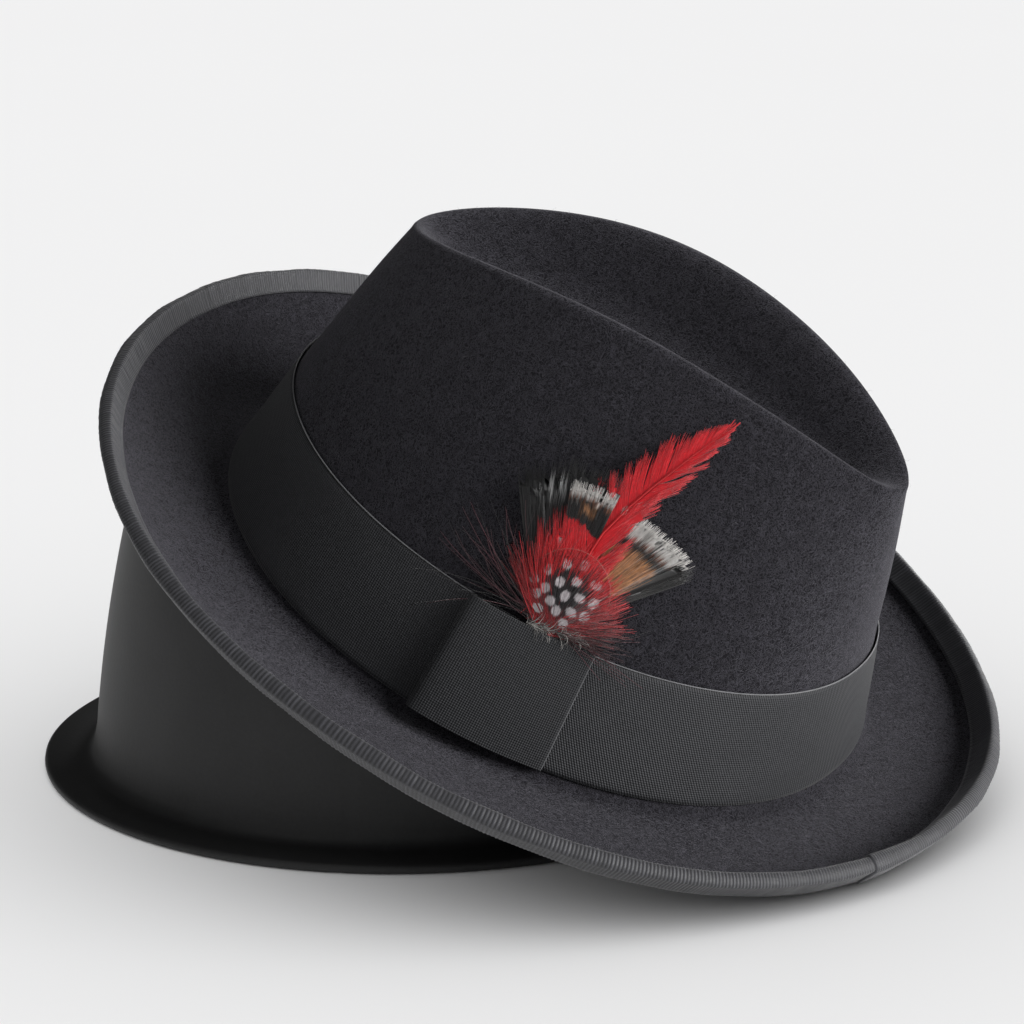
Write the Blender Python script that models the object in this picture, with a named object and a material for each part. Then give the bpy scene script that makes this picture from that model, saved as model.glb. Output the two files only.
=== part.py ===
"""Felt hat with a ribbon band, a flat bow and feathers, leaning on its plain display stand.

Run with: blender --background --python part.py
Metres, +Z up. The origin is the centre of the stand's flat underside. The hat is modelled upright in a
frame of its own (+X to its back, -Y to the wearer's left, which faces the viewer, +Z up from the crease
between crown and brim), and is then laid on the stand with its back brim on the floor.
"""

import math

import bmesh
import bpy
import numpy as np
from mathutils import Matrix
from mathutils.bvhtree import BVHTree

# Felt and head opening
FELT = 0.0024
HEAD_LENGTH = 0.208
HEAD_WIDTH = 0.172
OVAL_POWER = 2.15
CREASE_FRONT = 0.0015
CREASE_BACK = 0.0037
CREASE_SIDE = -0.0014
CREASE_FILLET = 0.0024
CREASE_DROP = 0.00144

# Crown: how far its wall leans in over the height of the band, and the lip round the centre dent
LEAN_FRONT = 0.0080
LEAN_BACK = 0.0082
LEAN_SIDE = 0.0155
LIP_LENGTH = 0.1668
LIP_WIDTH = 0.0658
LIP_SHIFT = 0.0021
LIP_TAPER = 0.17
LIP_FRONT = 0.0860
LIP_BACK = 0.0954
LIP_SIDE = 0.1082
DENT_DEPTH = 0.026
DENT_SHORTENING = 0.42

# Brim: its width from the crease and the rise of its rim
BRIM_FRONT = 0.0406
BRIM_BACK = 0.0378
BRIM_SIDE = 0.0442
RIM_FRONT = 0.0205
RIM_BACK = 0.0159
RIM_SIDE = 0.0114
RIM_CORNER_DIP = 0.0012

# Turned-up edge of the brim: its width in plan, and the share of the rim's rise that comes before it
EDGE_FRONT = 0.0085
EDGE_BACK = 0.0052
EDGE_SIDE = 0.0078
BEFORE_EDGE_FRONT = 0.60
BEFORE_EDGE_BACK = 0.22
BEFORE_EDGE_SIDE = 0.46

# Ribbons
RIBBON = 0.0007
RIBBON_GAP = 0.0003
BAND_HEIGHT = 0.0335
BINDING = 0.0006
RIBBON_FOOT = 0.0012

# The binding's fold over the rim, as shares of its outer side's distance from the felt
FOLD_CORNER = 0.7
FOLD_RIDGE = 1.25

# Flat bow, a folded ribbon over the band: where its right edge is stitched down, and its fold
BOW_RIGHT = math.radians(295.3)
BOW_WIDTH = 0.0400
BOW_LAYER = 0.0010
BOW_STAND_OFF = 0.0052
BOW_OVERLAP = 0.0006

# Feathers, which fan out from their quills at the band's top edge; angles from straight up, + to the back
FEATHERS_AT = math.radians(286.2)
VANE = 0.0005
VANE_GAP = 0.0003
VANE_OVER_FELT = 0.0004
VANE_FOOT = 0.0036
BANDED_LENGTH = 0.0425
BANDED_FROM = math.radians(-33.0)
BANDED_TO = math.radians(40.0)
BLACK_LENGTH = 0.0485
BLACK_FROM = math.radians(-39.0)
BLACK_TO = math.radians(-8.0)
RED_LENGTH = 0.0755
RED_WIDTH = 0.0200
RED_SWEEP = 0.0130
RED_BARB_RISE = 0.0024
HACKLE_LENGTH = 0.0310
HACKLE_FROM = math.radians(-66.0)
HACKLE_TO = math.radians(64.0)
SPOTTED_WIDTH = 0.0230
SPOTTED_RISE = 0.0147
SPOTTED_BLUNT = 0.25
QUILLS_WIDTH = 0.0080
QUILLS_LENGTH = 0.0095
QUILLS_TUCK = 0.0080

# Stand: round, with a thin flange at its foot and a top that slopes as the hat lies
STAND_FLANGE = 0.2258
FLANGE_WIDTH = 0.0155
FLANGE_THICKNESS = 0.003
FLANGE_FILLET = 0.004
STAND_TAPER = 0.0175
TAPER_HEIGHT = 0.100
TAPER_CURVED = 0.625
STAND_SHOULDER = 0.010

# Pose of the hat: its middle from the stand's middle, and how it is turned, pitched to its back and leant
HAT_RIGHT = 0.0433
HAT_NEAR = 0.0286
HAT_TURN = math.radians(-27.9)
HAT_PITCH = math.radians(26.16)
HAT_LEAN = math.radians(6.4)
REST_GAP = 0.0003

AROUND = 60
HEMISPHERE_STEPS = 7

# A row for each ring of the crown's wall, from the band's top edge to the lip: how far up, how far out
CROWN_WALL = (
    {"rise": 0.00, "spread": 1.000},
    {"rise": 0.22, "spread": 0.815},
    {"rise": 0.44, "spread": 0.615},
    {"rise": 0.66, "spread": 0.395},
    {"rise": 0.84, "spread": 0.195},
    {"rise": 0.95, "spread": 0.065},
)

# A row for each ring of the centre dent, from the lip to the dent's middle line: how far in, how far down
DENT = (
    {"inward": 0.00, "drop": 0.00},
    {"inward": 0.10, "drop": 0.05},
    {"inward": 0.30, "drop": 0.36},
    {"inward": 0.55, "drop": 0.77},
    {"inward": 0.80, "drop": 0.96},
    {"inward": 0.96, "drop": 1.00},
)

# A row for each ring of the brim before its turned-up edge, as shares of its width and rise there
BRIM = (
    {"out": 0.00, "lift": 0.00},
    {"out": 0.38, "lift": 0.16},
    {"out": 0.72, "lift": 0.52},
    {"out": 1.00, "lift": 1.00},
)

# A row for each ring of the turned-up edge, from its foot to its rim, which the binding covers
EDGE = (
    {"out": 0.45, "lift": 0.36},
    {"out": 1.00, "lift": 1.00},
)

# A row for each bend of the bow's ribbon, from its right edge round its fold and back behind itself
BOW_FOLD = (
    {"across": 0.000, "off": 0.00},
    {"across": 0.300, "off": 0.34},
    {"across": 0.650, "off": 0.74},
    {"across": 0.940, "off": 1.00},
    {"across": 0.985, "off": 0.93},
    {"across": 1.000, "off": 0.72},
    {"across": 1.000, "off": 0.42},
    {"across": 0.985, "off": 0.20},
    {"across": 0.930, "off": 0.10},
    {"across": 0.640, "off": 0.02},
)

# A row for each station of the red feather: how far along, how far swept, its vanes left and right of it
RED_VANE = (
    {"along": 0.05, "sweep": 0.00, "left": 0.20, "right": 0.15},
    {"along": 0.18, "sweep": -0.10, "left": 0.40, "right": 0.36},
    {"along": 0.32, "sweep": -0.20, "left": 0.56, "right": 0.44},
    {"along": 0.46, "sweep": -0.12, "left": 0.52, "right": 0.42},
    {"along": 0.60, "sweep": 0.10, "left": 0.42, "right": 0.40},
    {"along": 0.74, "sweep": 0.36, "left": 0.32, "right": 0.33},
    {"along": 0.88, "sweep": 0.68, "left": 0.19, "right": 0.21},
    {"along": 1.00, "sweep": 1.00, "left": 0.03, "right": 0.03},
)

# A row for each fan of locks: its reach and spread, its locks, and how much shorter every other lock is
FANS = (
    {"node": "banded_feather", "reach": BANDED_LENGTH, "spread": (BANDED_FROM, BANDED_TO), "locks": 15, "notch": 0.05},
    {"node": "black_feather", "reach": BLACK_LENGTH, "spread": (BLACK_FROM, BLACK_TO), "locks": 9, "notch": 0.12},
    {"node": "hackle_tuft", "reach": HACKLE_LENGTH, "spread": (HACKLE_FROM, HACKLE_TO), "locks": 27, "notch": 0.34},
)
FAN_RINGS = {"banded_feather": 5, "black_feather": 5, "hackle_tuft": 4}

# A row for each ring of the quills' wedge, from its foot behind the bow: how far up, how wide
QUILLS = (
    {"up": 0.0, "wide": 1.0},
    {"up": 0.5, "wide": 0.8},
    {"up": 1.0, "wide": 0.6},
)

# Rows for the flange's rounded rim, as shares of its thickness, and for the fillet at the wall's foot
FLANGE_RIM = (
    {"inward": 0.3, "up": 0.0},
    {"inward": 0.0, "up": 0.4},
    {"inward": 0.2, "up": 1.0},
)
WALL_FOOT = (
    {"outward": 1.0, "up": 0.0},
    {"outward": 0.3, "up": 0.3},
)


def clear_scene():
    for thing in list(bpy.data.objects):
        bpy.data.objects.remove(thing, do_unlink=True)


def finish(name, colour, roughness, sheen=0.0):
    """A material with the piece's colour; felt and ribbon also have a sheen."""
    material = bpy.data.materials.new(name)
    material.use_nodes = True
    shader = material.node_tree.nodes["Principled BSDF"]
    shader.inputs["Base Color"].default_value = (*colour, 1.0)
    shader.inputs["Roughness"].default_value = roughness
    shader.inputs["Metallic"].default_value = 0.0
    shader.inputs["Sheen Weight"].default_value = sheen
    material.diffuse_color = (*colour, 1.0)
    return material


def solid(name, points, faces, material, parent):
    """An object from points and faces, with its faces turned outwards."""
    mesh = bpy.data.meshes.new(name)
    mesh.from_pydata([tuple(p) for p in points], [], faces)
    work = bmesh.new()
    work.from_mesh(mesh)
    bmesh.ops.recalc_face_normals(work, faces=work.faces)
    work.to_mesh(mesh)
    work.free()
    mesh.shade_smooth()
    mesh.set_sharp_from_angle(angle=math.radians(40))
    mesh.materials.append(material)
    thing = bpy.data.objects.new(name, mesh)
    bpy.context.scene.collection.objects.link(thing)
    thing.parent = parent
    return thing


def angles():
    return np.linspace(0.0, 2.0 * math.pi, AROUND, endpoint=False)


def varied(theta, front, back, side):
    """A size that is front, back and side at those places of the hat, and goes smoothly between them."""
    along = np.cos(theta)
    return side * np.sin(theta) ** 2 + (front + back) / 2 * along**2 + (back - front) / 2 * along


def oval(theta, front, back, side, power=OVAL_POWER):
    """The points of an oval with those three half sizes, slightly squarer than an ellipse."""
    cos, sin = np.cos(theta), np.sin(theta)
    x = np.where(cos > 0, back, front) * np.sign(cos) * np.abs(cos) ** (2 / power)
    y = side * np.sign(sin) * np.abs(sin) ** (2 / power)
    return np.stack([x, y], axis=-1)


def crease_height(theta):
    return varied(theta, CREASE_FRONT, CREASE_BACK, CREASE_SIDE)


def wall_point(theta, height):
    """The crown's wall at a height above the crease, within the height of the band."""
    lean = height / BAND_HEIGHT
    plan = oval(
        theta,
        HEAD_LENGTH / 2 - LEAN_FRONT * lean,
        HEAD_LENGTH / 2 - LEAN_BACK * lean,
        HEAD_WIDTH / 2 - LEAN_SIDE * lean,
    )
    return np.concatenate([plan, (crease_height(theta) + height)[..., None]], axis=-1)


def lip_point(theta):
    half_width = LIP_WIDTH / 2 * (1 - LIP_TAPER * np.cos(theta))
    x = LIP_SHIFT + LIP_LENGTH / 2 * np.cos(theta)
    y = half_width * np.sin(theta)
    return np.stack([x, y, varied(theta, LIP_FRONT, LIP_BACK, LIP_SIDE)], axis=-1)


def crown_point(theta, rise, spread):
    """The crown between the band's top edge and the lip."""
    foot, lip = wall_point(theta, BAND_HEIGHT), lip_point(theta)
    plan = lip[..., :2] + (foot - lip)[..., :2] * spread
    height = foot[..., 2] + (lip - foot)[..., 2] * rise
    return np.concatenate([plan, height[..., None]], axis=-1)


def dent_point(theta, inward, drop):
    """The centre dent: each ring is narrower and a little shorter than the lip, down to a smooth floor."""
    lip = lip_point(theta)
    x = LIP_SHIFT + (lip[..., 0] - LIP_SHIFT) * (1 - DENT_SHORTENING * inward)
    y = lip[..., 1] * (1 - inward)
    floor = LIP_SIDE - DENT_DEPTH + (LIP_BACK - LIP_FRONT) / LIP_LENGTH * (x - LIP_SHIFT)
    return np.stack([x, y, lip[..., 2] + (floor - lip[..., 2]) * drop], axis=-1)


def brim_point(theta, reach, lift):
    """The brim's upper side at a distance out from the crease and at a share of its rim's rise."""
    foot = wall_point(theta, np.zeros_like(theta))
    radius = np.hypot(foot[..., 0], foot[..., 1])
    plan = foot[..., :2] * ((radius + reach) / radius)[..., None]
    base = foot[..., 2] - CREASE_DROP
    dip = RIM_CORNER_DIP * (1 - np.cos(4 * theta)) / 2 * lift
    height = base + (varied(theta, RIM_FRONT, RIM_BACK, RIM_SIDE) - base) * lift - dip
    return np.concatenate([plan, height[..., None]], axis=-1)


def brim_rows(theta):
    """The brim's rings, from its foot to the felt's rim, just inside the binding's fold."""
    width = varied(theta, BRIM_FRONT, BRIM_BACK, BRIM_SIDE) - BINDING - RIBBON_GAP
    edge = varied(theta, EDGE_FRONT, EDGE_BACK, EDGE_SIDE)
    before = varied(theta, BEFORE_EDGE_FRONT, BEFORE_EDGE_BACK, BEFORE_EDGE_SIDE)
    flat = width - edge - CREASE_FILLET
    rows = [brim_point(theta, CREASE_FILLET + flat * row["out"], before * row["lift"]) for row in BRIM]
    for row in EDGE:
        rows.append(brim_point(theta, width - edge * (1 - row["out"]), before + (1 - before) * row["lift"]))
    return rows


def felt_rows(theta):
    """The rings of the felt's upper and outer side, from the dent's middle line to the rim."""
    rows = [dent_point(theta, row["inward"], row["drop"]) for row in reversed(DENT)]
    rows += [crown_point(theta, row["rise"], row["spread"]) for row in reversed(CROWN_WALL)]
    rows += [wall_point(theta, np.full_like(theta, h)) for h in (BAND_HEIGHT / 2, RIBBON_FOOT)]
    return np.array(rows + brim_rows(theta))


def normals_of(rows):
    """The outward normal at each point of a grid of rings."""
    along = np.gradient(rows, axis=0)
    turn = np.roll(rows, -1, axis=1) - np.roll(rows, 1, axis=1)
    cross = np.cross(along, turn)
    return cross / np.linalg.norm(cross, axis=-1, keepdims=True)


def ring_faces(rows, around, closed):
    """Quads between neighbouring rings of a grid, and from the last back to the first if it is closed."""
    faces = []
    for row in range(rows if closed else rows - 1):
        low, high = row * around, (row + 1) % rows * around
        for step in range(around):
            after = (step + 1) % around
            faces.append((low + step, low + after, high + after, high + step))
    return faces


def zip_faces(first, around):
    """Closes a long narrow ring by joining the points that face each other across its middle line."""
    half = around // 2
    faces = [(first, first + 1, first + around - 1), (first + half, first + half + 1, first + half - 1)]
    for step in range(1, half - 1):
        faces.append((first + step, first + step + 1, first + around - step - 1, first + around - step))
    return faces


def make_hat_body(material, parent):
    """One piece of felt: crown with its centre dent, and curled brim."""
    outer = felt_rows(angles())
    inner = outer - normals_of(outer) * FELT
    rings = np.concatenate([outer, inner[::-1]])
    faces = ring_faces(len(rings), AROUND, closed=False)
    faces += zip_faces(0, AROUND) + zip_faces((len(rings) - 1) * AROUND, AROUND)
    return solid("hat_body", rings.reshape(-1, 3), faces, material, parent)


def make_binding(material, parent):
    """A folded ribbon round the brim's turned-up edge."""
    rows = felt_rows(angles())
    normals = normals_of(rows)
    count = len(EDGE) + 1
    under, normal = rows[-count:], normals[-count:]
    outward = under[-1] - under[-2]
    outward /= np.linalg.norm(outward, axis=-1, keepdims=True)
    lower = under - normal * FELT

    def leg(points, side, distance):
        return points + side * normal * distance

    near, far = RIBBON_GAP, RIBBON_GAP + BINDING
    corner, ridge = far * FOLD_CORNER, far * FOLD_RIDGE
    rings = [
        *leg(under, 1, near)[:2],
        under[-1] + normal[-1] * near + outward * near,
        lower[-1] - normal[-1] * near + outward * near,
        *leg(lower, -1, near)[1::-1],
        *leg(lower, -1, far)[:2],
        lower[-1] - normal[-1] * corner + outward * corner,
        (under[-1] + lower[-1]) / 2 + outward * ridge,
        under[-1] + normal[-1] * corner + outward * corner,
        *leg(under, 1, far)[1::-1],
    ]
    rings = np.array(rings)
    faces = ring_faces(len(rings), AROUND, closed=True)
    return solid("brim_binding", rings.reshape(-1, 3), faces, material, parent)


def wall_normal(theta, height):
    """The wall's outward normal within the band."""
    step = 1e-4
    turn = wall_point(theta + step, height) - wall_point(theta - step, height)
    rise = wall_point(theta, height + step) - wall_point(theta, height - step)
    cross = np.cross(turn, rise)
    return cross / np.linalg.norm(cross, axis=-1, keepdims=True)


def off_wall(theta, height, distance):
    return wall_point(theta, height) + wall_normal(theta, height) * np.asarray(distance)[..., None]


def make_band(material, parent):
    theta = angles()
    heights = (RIBBON_FOOT, BAND_HEIGHT / 2, BAND_HEIGHT)
    rings = [off_wall(theta, np.full_like(theta, h), np.full_like(theta, RIBBON_GAP)) for h in heights]
    far = RIBBON_GAP + RIBBON
    rings += [off_wall(theta, np.full_like(theta, h), np.full_like(theta, far)) for h in reversed(heights)]
    rings = np.array(rings)
    faces = ring_faces(len(rings), AROUND, closed=True)
    return solid("hat_band", rings.reshape(-1, 3), faces, material, parent)


def slab(name, front, back, material, parent):
    """A thin closed piece between two grids of points with the same rows and columns."""
    rows, columns = front.shape[:2]
    far = rows * columns
    faces = []
    for row in range(rows - 1):
        for column in range(columns - 1):
            a = row * columns + column
            quad = (a, a + 1, a + columns + 1, a + columns)
            faces.append(quad)
            faces.append(tuple(far + i for i in reversed(quad)))
    rim = [column for column in range(columns)]
    rim += [row * columns + columns - 1 for row in range(1, rows)]
    rim += [(rows - 1) * columns + column for column in range(columns - 2, -1, -1)]
    rim += [row * columns for row in range(rows - 2, 0, -1)]
    for a, b in zip(rim, rim[1:] + rim[:1]):
        faces.append((b, a, far + a, far + b))
    points = np.concatenate([front.reshape(-1, 3), back.reshape(-1, 3)])
    return solid(name, points, faces, material, parent)


def wall_angle(width):
    """The angle that a width along the crown's wall takes up near the bow."""
    step = 1e-3
    ends = wall_point(np.array([BOW_RIGHT - step, BOW_RIGHT]), np.full(2, BAND_HEIGHT / 2))
    return width * step / np.linalg.norm(ends[1] - ends[0])


def make_bow(material, parent):
    """A ribbon folded flat over the band: its right edge is stitched down, its left fold stands proud."""
    base = RIBBON_GAP + RIBBON + RIBBON_GAP + BOW_LAYER / 2
    theta = BOW_RIGHT - wall_angle(BOW_WIDTH) * np.array([row["across"] for row in BOW_FOLD])
    off = base + BOW_STAND_OFF * np.array([row["off"] for row in BOW_FOLD])
    heights = np.linspace(RIBBON_FOOT, BAND_HEIGHT + BOW_OVERLAP, 4)
    middle = np.array([off_wall(theta, np.full_like(theta, height), off) for height in heights])
    cross = np.cross(np.gradient(middle, axis=1), np.gradient(middle, axis=0))
    half = cross / np.linalg.norm(cross, axis=-1, keepdims=True) * BOW_LAYER / 2
    return slab("band_bow", middle + half, middle - half, material, parent)


class FeatherBed:
    """The flat frame that feathers are drawn in, and the way from it onto the crown's wall."""

    def __init__(self, hat_body):
        self.tree = BVHTree.FromPolygons(
            [v.co.copy() for v in hat_body.data.vertices],
            [tuple(p.vertices) for p in hat_body.data.polygons],
        )
        above = (BANDED_LENGTH / 2 + BAND_HEIGHT - LIP_SIDE) / (BAND_HEIGHT - LIP_SIDE)
        theta = np.array(FEATHERS_AT)
        step = 1e-3
        self.root = wall_point(theta, np.array(BAND_HEIGHT))
        self.up = crown_point(theta, 1 - above, above) - self.root
        turn = wall_point(theta + step, np.array(BAND_HEIGHT)) - self.root
        self.out = np.cross(turn, self.up)
        self.out /= np.linalg.norm(self.out)
        self.across = np.array([1.0, 0.0, 0.0]) - self.out[0] * self.out
        self.across /= np.linalg.norm(self.across)
        self.up = np.cross(self.out, self.across)

    def on_crown(self, across, up):
        """The point of the crown's wall under a place of the flat frame."""
        flat = self.root + self.across * across + self.up * up
        start = flat + self.out * HEAD_WIDTH
        hit = self.tree.ray_cast(start.tolist(), (-self.out).tolist())[0]
        return flat if hit is None else np.array(hit)

    def laid(self, name, across, up, off, thickness, material, parent):
        """A vane from grids of flat places, off the crown by that distance."""
        points = [[self.on_crown(a, u) for a, u in zip(*row)] for row in zip(across, up)]
        near = np.array(points) + self.out * off
        return slab(name, near + self.out * thickness, near, material, parent)


def fan(row):
    """Places of a fan of locks round the quills, every other lock shorter by its notch."""
    angle = np.linspace(*row["spread"], row["locks"])
    reach = np.where(np.arange(row["locks"]) % 2, 1.0, 1.0 - row["notch"]) * row["reach"]
    share = np.linspace(0.0, 1.0, FAN_RINGS[row["node"]])[:, None]
    radius = VANE_FOOT + (reach - VANE_FOOT) * share
    return radius * np.sin(angle), radius * np.cos(angle)


def red_vane():
    """Places of the long red feather: two vanes on a swept shaft, their barbs rising outwards."""
    across, up = [], []
    for row in RED_VANE:
        sides = np.array([-row["left"], -row["left"] / 2, 0.0, row["right"] / 2, row["right"]])
        across.append(RED_SWEEP * row["sweep"] + RED_WIDTH * sides)
        up.append(RED_LENGTH * row["along"] + RED_BARB_RISE * np.array([1.0, 0.5, 0.0, 0.5, 1.0]))
    return across, up


def spotted_disc():
    """Places of the round spotted feather, with blunt ends."""
    turn = np.linspace(0.0, math.pi, HEMISPHERE_STEPS)[:, None]
    side = np.linspace(-1.0, 1.0, HEMISPHERE_STEPS)[None, :]
    across = SPOTTED_WIDTH / 2 * np.maximum(np.sin(turn), SPOTTED_BLUNT) * side
    up = np.broadcast_to(SPOTTED_RISE - SPOTTED_WIDTH / 2 * np.cos(turn), across.shape)
    return across, up


def quill_wedge():
    """Places of the tied quills, which taper upwards and end behind the bow's top edge."""
    wide = np.array([[row["wide"]] for row in QUILLS])
    rise = np.array([[row["up"]] for row in QUILLS])
    across = QUILLS_WIDTH * wide * np.linspace(-0.5, 0.5, 4)[None, :]
    up = np.broadcast_to(rise * QUILLS_LENGTH - QUILLS_TUCK, across.shape)
    return across, up


def make_feathers(colours, hat_body, parent):
    """Feathers in layers on the crown, from the wall outwards, and their tied quills behind the bow."""
    bed = FeatherBed(hat_body)
    banded, black, hackle = [fan(row) for row in FANS]
    layers = (
        ("banded_feather", banded, "banded"),
        ("black_feather", black, "black"),
        ("red_feather", red_vane(), "red"),
        ("hackle_tuft", hackle, "red"),
        ("spotted_feather", spotted_disc(), "spotted"),
    )
    for layer, (name, places, colour) in enumerate(layers):
        off = VANE_OVER_FELT + layer * (VANE + VANE_GAP)
        bed.laid(name, *places, off, VANE, colours[colour], parent)
    off = RIBBON_GAP + RIBBON + RIBBON_GAP
    bed.laid("feather_quills", *quill_wedge(), off, 2 * VANE, colours["black"], parent)


def hat_turn():
    """How the hat is turned, pitched so that its back goes down, and leant to the viewer."""
    pitched = Matrix.Rotation(HAT_TURN, 4, "Z") @ Matrix.Rotation(HAT_PITCH, 4, "Y")
    return pitched @ Matrix.Rotation(HAT_LEAN, 4, "X")


def hat_place(pieces):
    """The hat's place, with the lowest of its pieces on the floor."""
    turn = np.array(hat_turn())
    points = np.concatenate([[v.co for v in piece.data.vertices] for piece in pieces])
    lowest = (points @ turn[2, :3]).min()
    return Matrix.Translation((HAT_RIGHT, -HAT_NEAR, -lowest)) @ hat_turn()


def wall_radius(height):
    """The stand's radius at a height: its wall leans in, more so towards the top."""
    share = height / TAPER_HEIGHT
    taper = STAND_TAPER * ((1 - TAPER_CURVED) * share + TAPER_CURVED * share**2)
    return STAND_FLANGE / 2 - FLANGE_WIDTH - taper


def stand_mesh(top, grow):
    """Points and faces of the stand, whose sloping top is at that height over its middle, grown on all sides."""
    theta = angles()
    slope = np.array(hat_turn())[:3, 2]

    def at(radius, height):
        return np.stack([radius * np.cos(theta), radius * np.sin(theta), height], axis=-1)

    def top_height(radius):
        plan = slope[0] * radius * np.cos(theta) + slope[1] * radius * np.sin(theta)
        return top - plan / slope[2]

    edge = np.full_like(theta, top)
    for _ in range(12):
        edge = top_height(wall_radius(edge))
    foot = FLANGE_THICKNESS + FLANGE_FILLET
    level = np.ones_like(theta)
    rings = []
    for row in FLANGE_RIM:
        radius = STAND_FLANGE / 2 + grow - FLANGE_THICKNESS * row["inward"]
        rings.append(at(radius, level * (FLANGE_THICKNESS + grow) * row["up"]))
    for row in WALL_FOOT:
        radius = wall_radius(0.0) + grow + FLANGE_FILLET * row["outward"]
        rings.append(at(radius, level * (FLANGE_THICKNESS + grow + FLANGE_FILLET * row["up"])))
    for share in (0.0, 0.35, 0.7, 1.0):
        height = foot + (edge - STAND_SHOULDER - foot) * share
        rings.append(at(wall_radius(height) + grow, height))
    for turn in np.radians((30.0, 60.0)):
        inset = STAND_SHOULDER * (1 - math.cos(turn))
        radius = wall_radius(edge) - inset
        height = top_height(radius) - STAND_SHOULDER * (1 - math.sin(turn))
        rings.append(at(radius + grow, height + grow))
    radius = wall_radius(edge) - STAND_SHOULDER
    rings.append(at(radius, top_height(radius) + grow))
    faces = ring_faces(len(rings), AROUND, closed=False)
    faces.append(tuple(range(AROUND)))
    faces.append(tuple(range((len(rings) - 1) * AROUND, len(rings) * AROUND)))
    return np.concatenate(rings), faces


def stand_top(pieces, place):
    """The height over the stand's middle at which its top just clears the hat that lies on it."""
    trees = []
    for piece in pieces:
        points = [place @ v.co for v in piece.data.vertices]
        trees.append(BVHTree.FromPolygons(points, [tuple(p.vertices) for p in piece.data.polygons]))

    def touches(top):
        points, faces = stand_mesh(top, REST_GAP)
        tree = BVHTree.FromPolygons([tuple(p) for p in points], faces)
        return any(tree.overlap(other) for other in trees)

    slope = place.col[2].xyz
    clear, held = 0.0, slope.dot(place.translation) / slope.z
    step = held / 24
    while clear + step < held and not touches(clear + step):
        clear += step
    held = clear + step
    for _ in range(10):
        middle = (clear + held) / 2
        if touches(middle):
            held = middle
        else:
            clear = middle
    return clear


def make_stand(material, pieces, place):
    points, faces = stand_mesh(stand_top(pieces, place), 0.0)
    return solid("display_stand", points, faces, material, None)


def main():
    clear_scene()
    felt = finish("felt", (0.022, 0.021, 0.027), 0.95, sheen=0.4)
    ribbon = finish("ribbon", (0.018, 0.018, 0.020), 0.75, sheen=0.2)
    binding = finish("binding", (0.024, 0.024, 0.028), 0.7, sheen=0.2)
    board = finish("stand_board", (0.030, 0.030, 0.031), 0.6)
    feathers = {
        "red": finish("red_feather", (0.54, 0.006, 0.012), 0.5),
        "black": finish("black_feather", (0.012, 0.012, 0.013), 0.5),
        "banded": finish("banded_feather", (0.25, 0.17, 0.11), 0.5),
        "spotted": finish("spotted_feather", (0.20, 0.10, 0.10), 0.5),
    }

    hat = bpy.data.objects.new("hat_pose", None)
    bpy.context.scene.collection.objects.link(hat)
    body = make_hat_body(felt, hat)
    edge = make_binding(binding, hat)
    make_band(ribbon, hat)
    make_bow(ribbon, hat)
    make_feathers(feathers, body, hat)
    hat.matrix_world = hat_place([body, edge])
    make_stand(board, [body, edge], hat.matrix_world)


main()
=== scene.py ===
import math

import bmesh
import bpy
import numpy as np
from mathutils import Matrix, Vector
from mathutils.bvhtree import BVHTree


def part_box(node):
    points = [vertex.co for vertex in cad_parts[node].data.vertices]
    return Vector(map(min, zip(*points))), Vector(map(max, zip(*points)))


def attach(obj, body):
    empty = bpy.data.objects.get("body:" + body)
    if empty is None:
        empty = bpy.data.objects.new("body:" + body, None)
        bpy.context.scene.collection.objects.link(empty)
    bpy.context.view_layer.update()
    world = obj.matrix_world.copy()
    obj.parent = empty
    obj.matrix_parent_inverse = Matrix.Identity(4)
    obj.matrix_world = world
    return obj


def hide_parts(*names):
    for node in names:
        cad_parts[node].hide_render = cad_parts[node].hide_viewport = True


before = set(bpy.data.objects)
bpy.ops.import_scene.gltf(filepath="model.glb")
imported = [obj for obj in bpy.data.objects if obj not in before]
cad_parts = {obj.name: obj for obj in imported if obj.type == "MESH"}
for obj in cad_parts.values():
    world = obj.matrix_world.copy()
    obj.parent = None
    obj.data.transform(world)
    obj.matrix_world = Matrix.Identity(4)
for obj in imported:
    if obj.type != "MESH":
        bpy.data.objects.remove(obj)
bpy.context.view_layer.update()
MM = 0.001

# The camera, fitted to the photo's view
CAMERA_PLACE = (0.03335, -0.9607, 0.32105)
CAMERA_TILT = math.radians(75.75)
CAMERA_LENS = 112.5
CAMERA_SENSOR = 36

# The hat's own sizes, as in the part's source; three in a row are at its front, back and side
FELT = 0.0024
HEAD_LENGTH = 0.208
HEAD_WIDTH = 0.172
OVAL_POWER = 2.15
CREASE = (0.0015, 0.0037, -0.0014)
CREASE_FILLET = 0.0024
CREASE_DROP = 0.00144
LEAN = (0.0080, 0.0082, 0.0155)
LIP_LENGTH = 0.1668
LIP_WIDTH = 0.0658
LIP_SHIFT = 0.0021
LIP_TAPER = 0.17
LIP_FRONT = 0.0860
LIP_BACK = 0.0954
LIP_SIDE = 0.1082
DENT_DEPTH = 0.026
DENT_SHORTENING = 0.42
BRIM_WIDTH = (0.0406, 0.0378, 0.0442)
RIM_HEIGHT = (0.0205, 0.0159, 0.0114)
RIM_CORNER_DIP = 0.0012
EDGE_WIDTH = (0.0085, 0.0052, 0.0078)
BEFORE_EDGE = (0.60, 0.22, 0.46)
RIBBON = 0.0007
RIBBON_GAP = 0.0003
RIBBON_FOOT = 0.0012
BAND_HEIGHT = 0.0335
BINDING = 0.0006
BOW_RIGHT = math.radians(295.3)
BOW_WIDTH = 0.0362
BOW_LAYER = 0.0010
BOW_STAND_OFF = 0.0052
BOW_OVERLAP = 0.0006
FEATHERS_AT = math.radians(286.2)
BED_RISE = 0.02125
STAND_FLANGE = 0.2258
FLANGE_WIDTH = 0.0155
FLANGE_THICKNESS = 0.003
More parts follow.
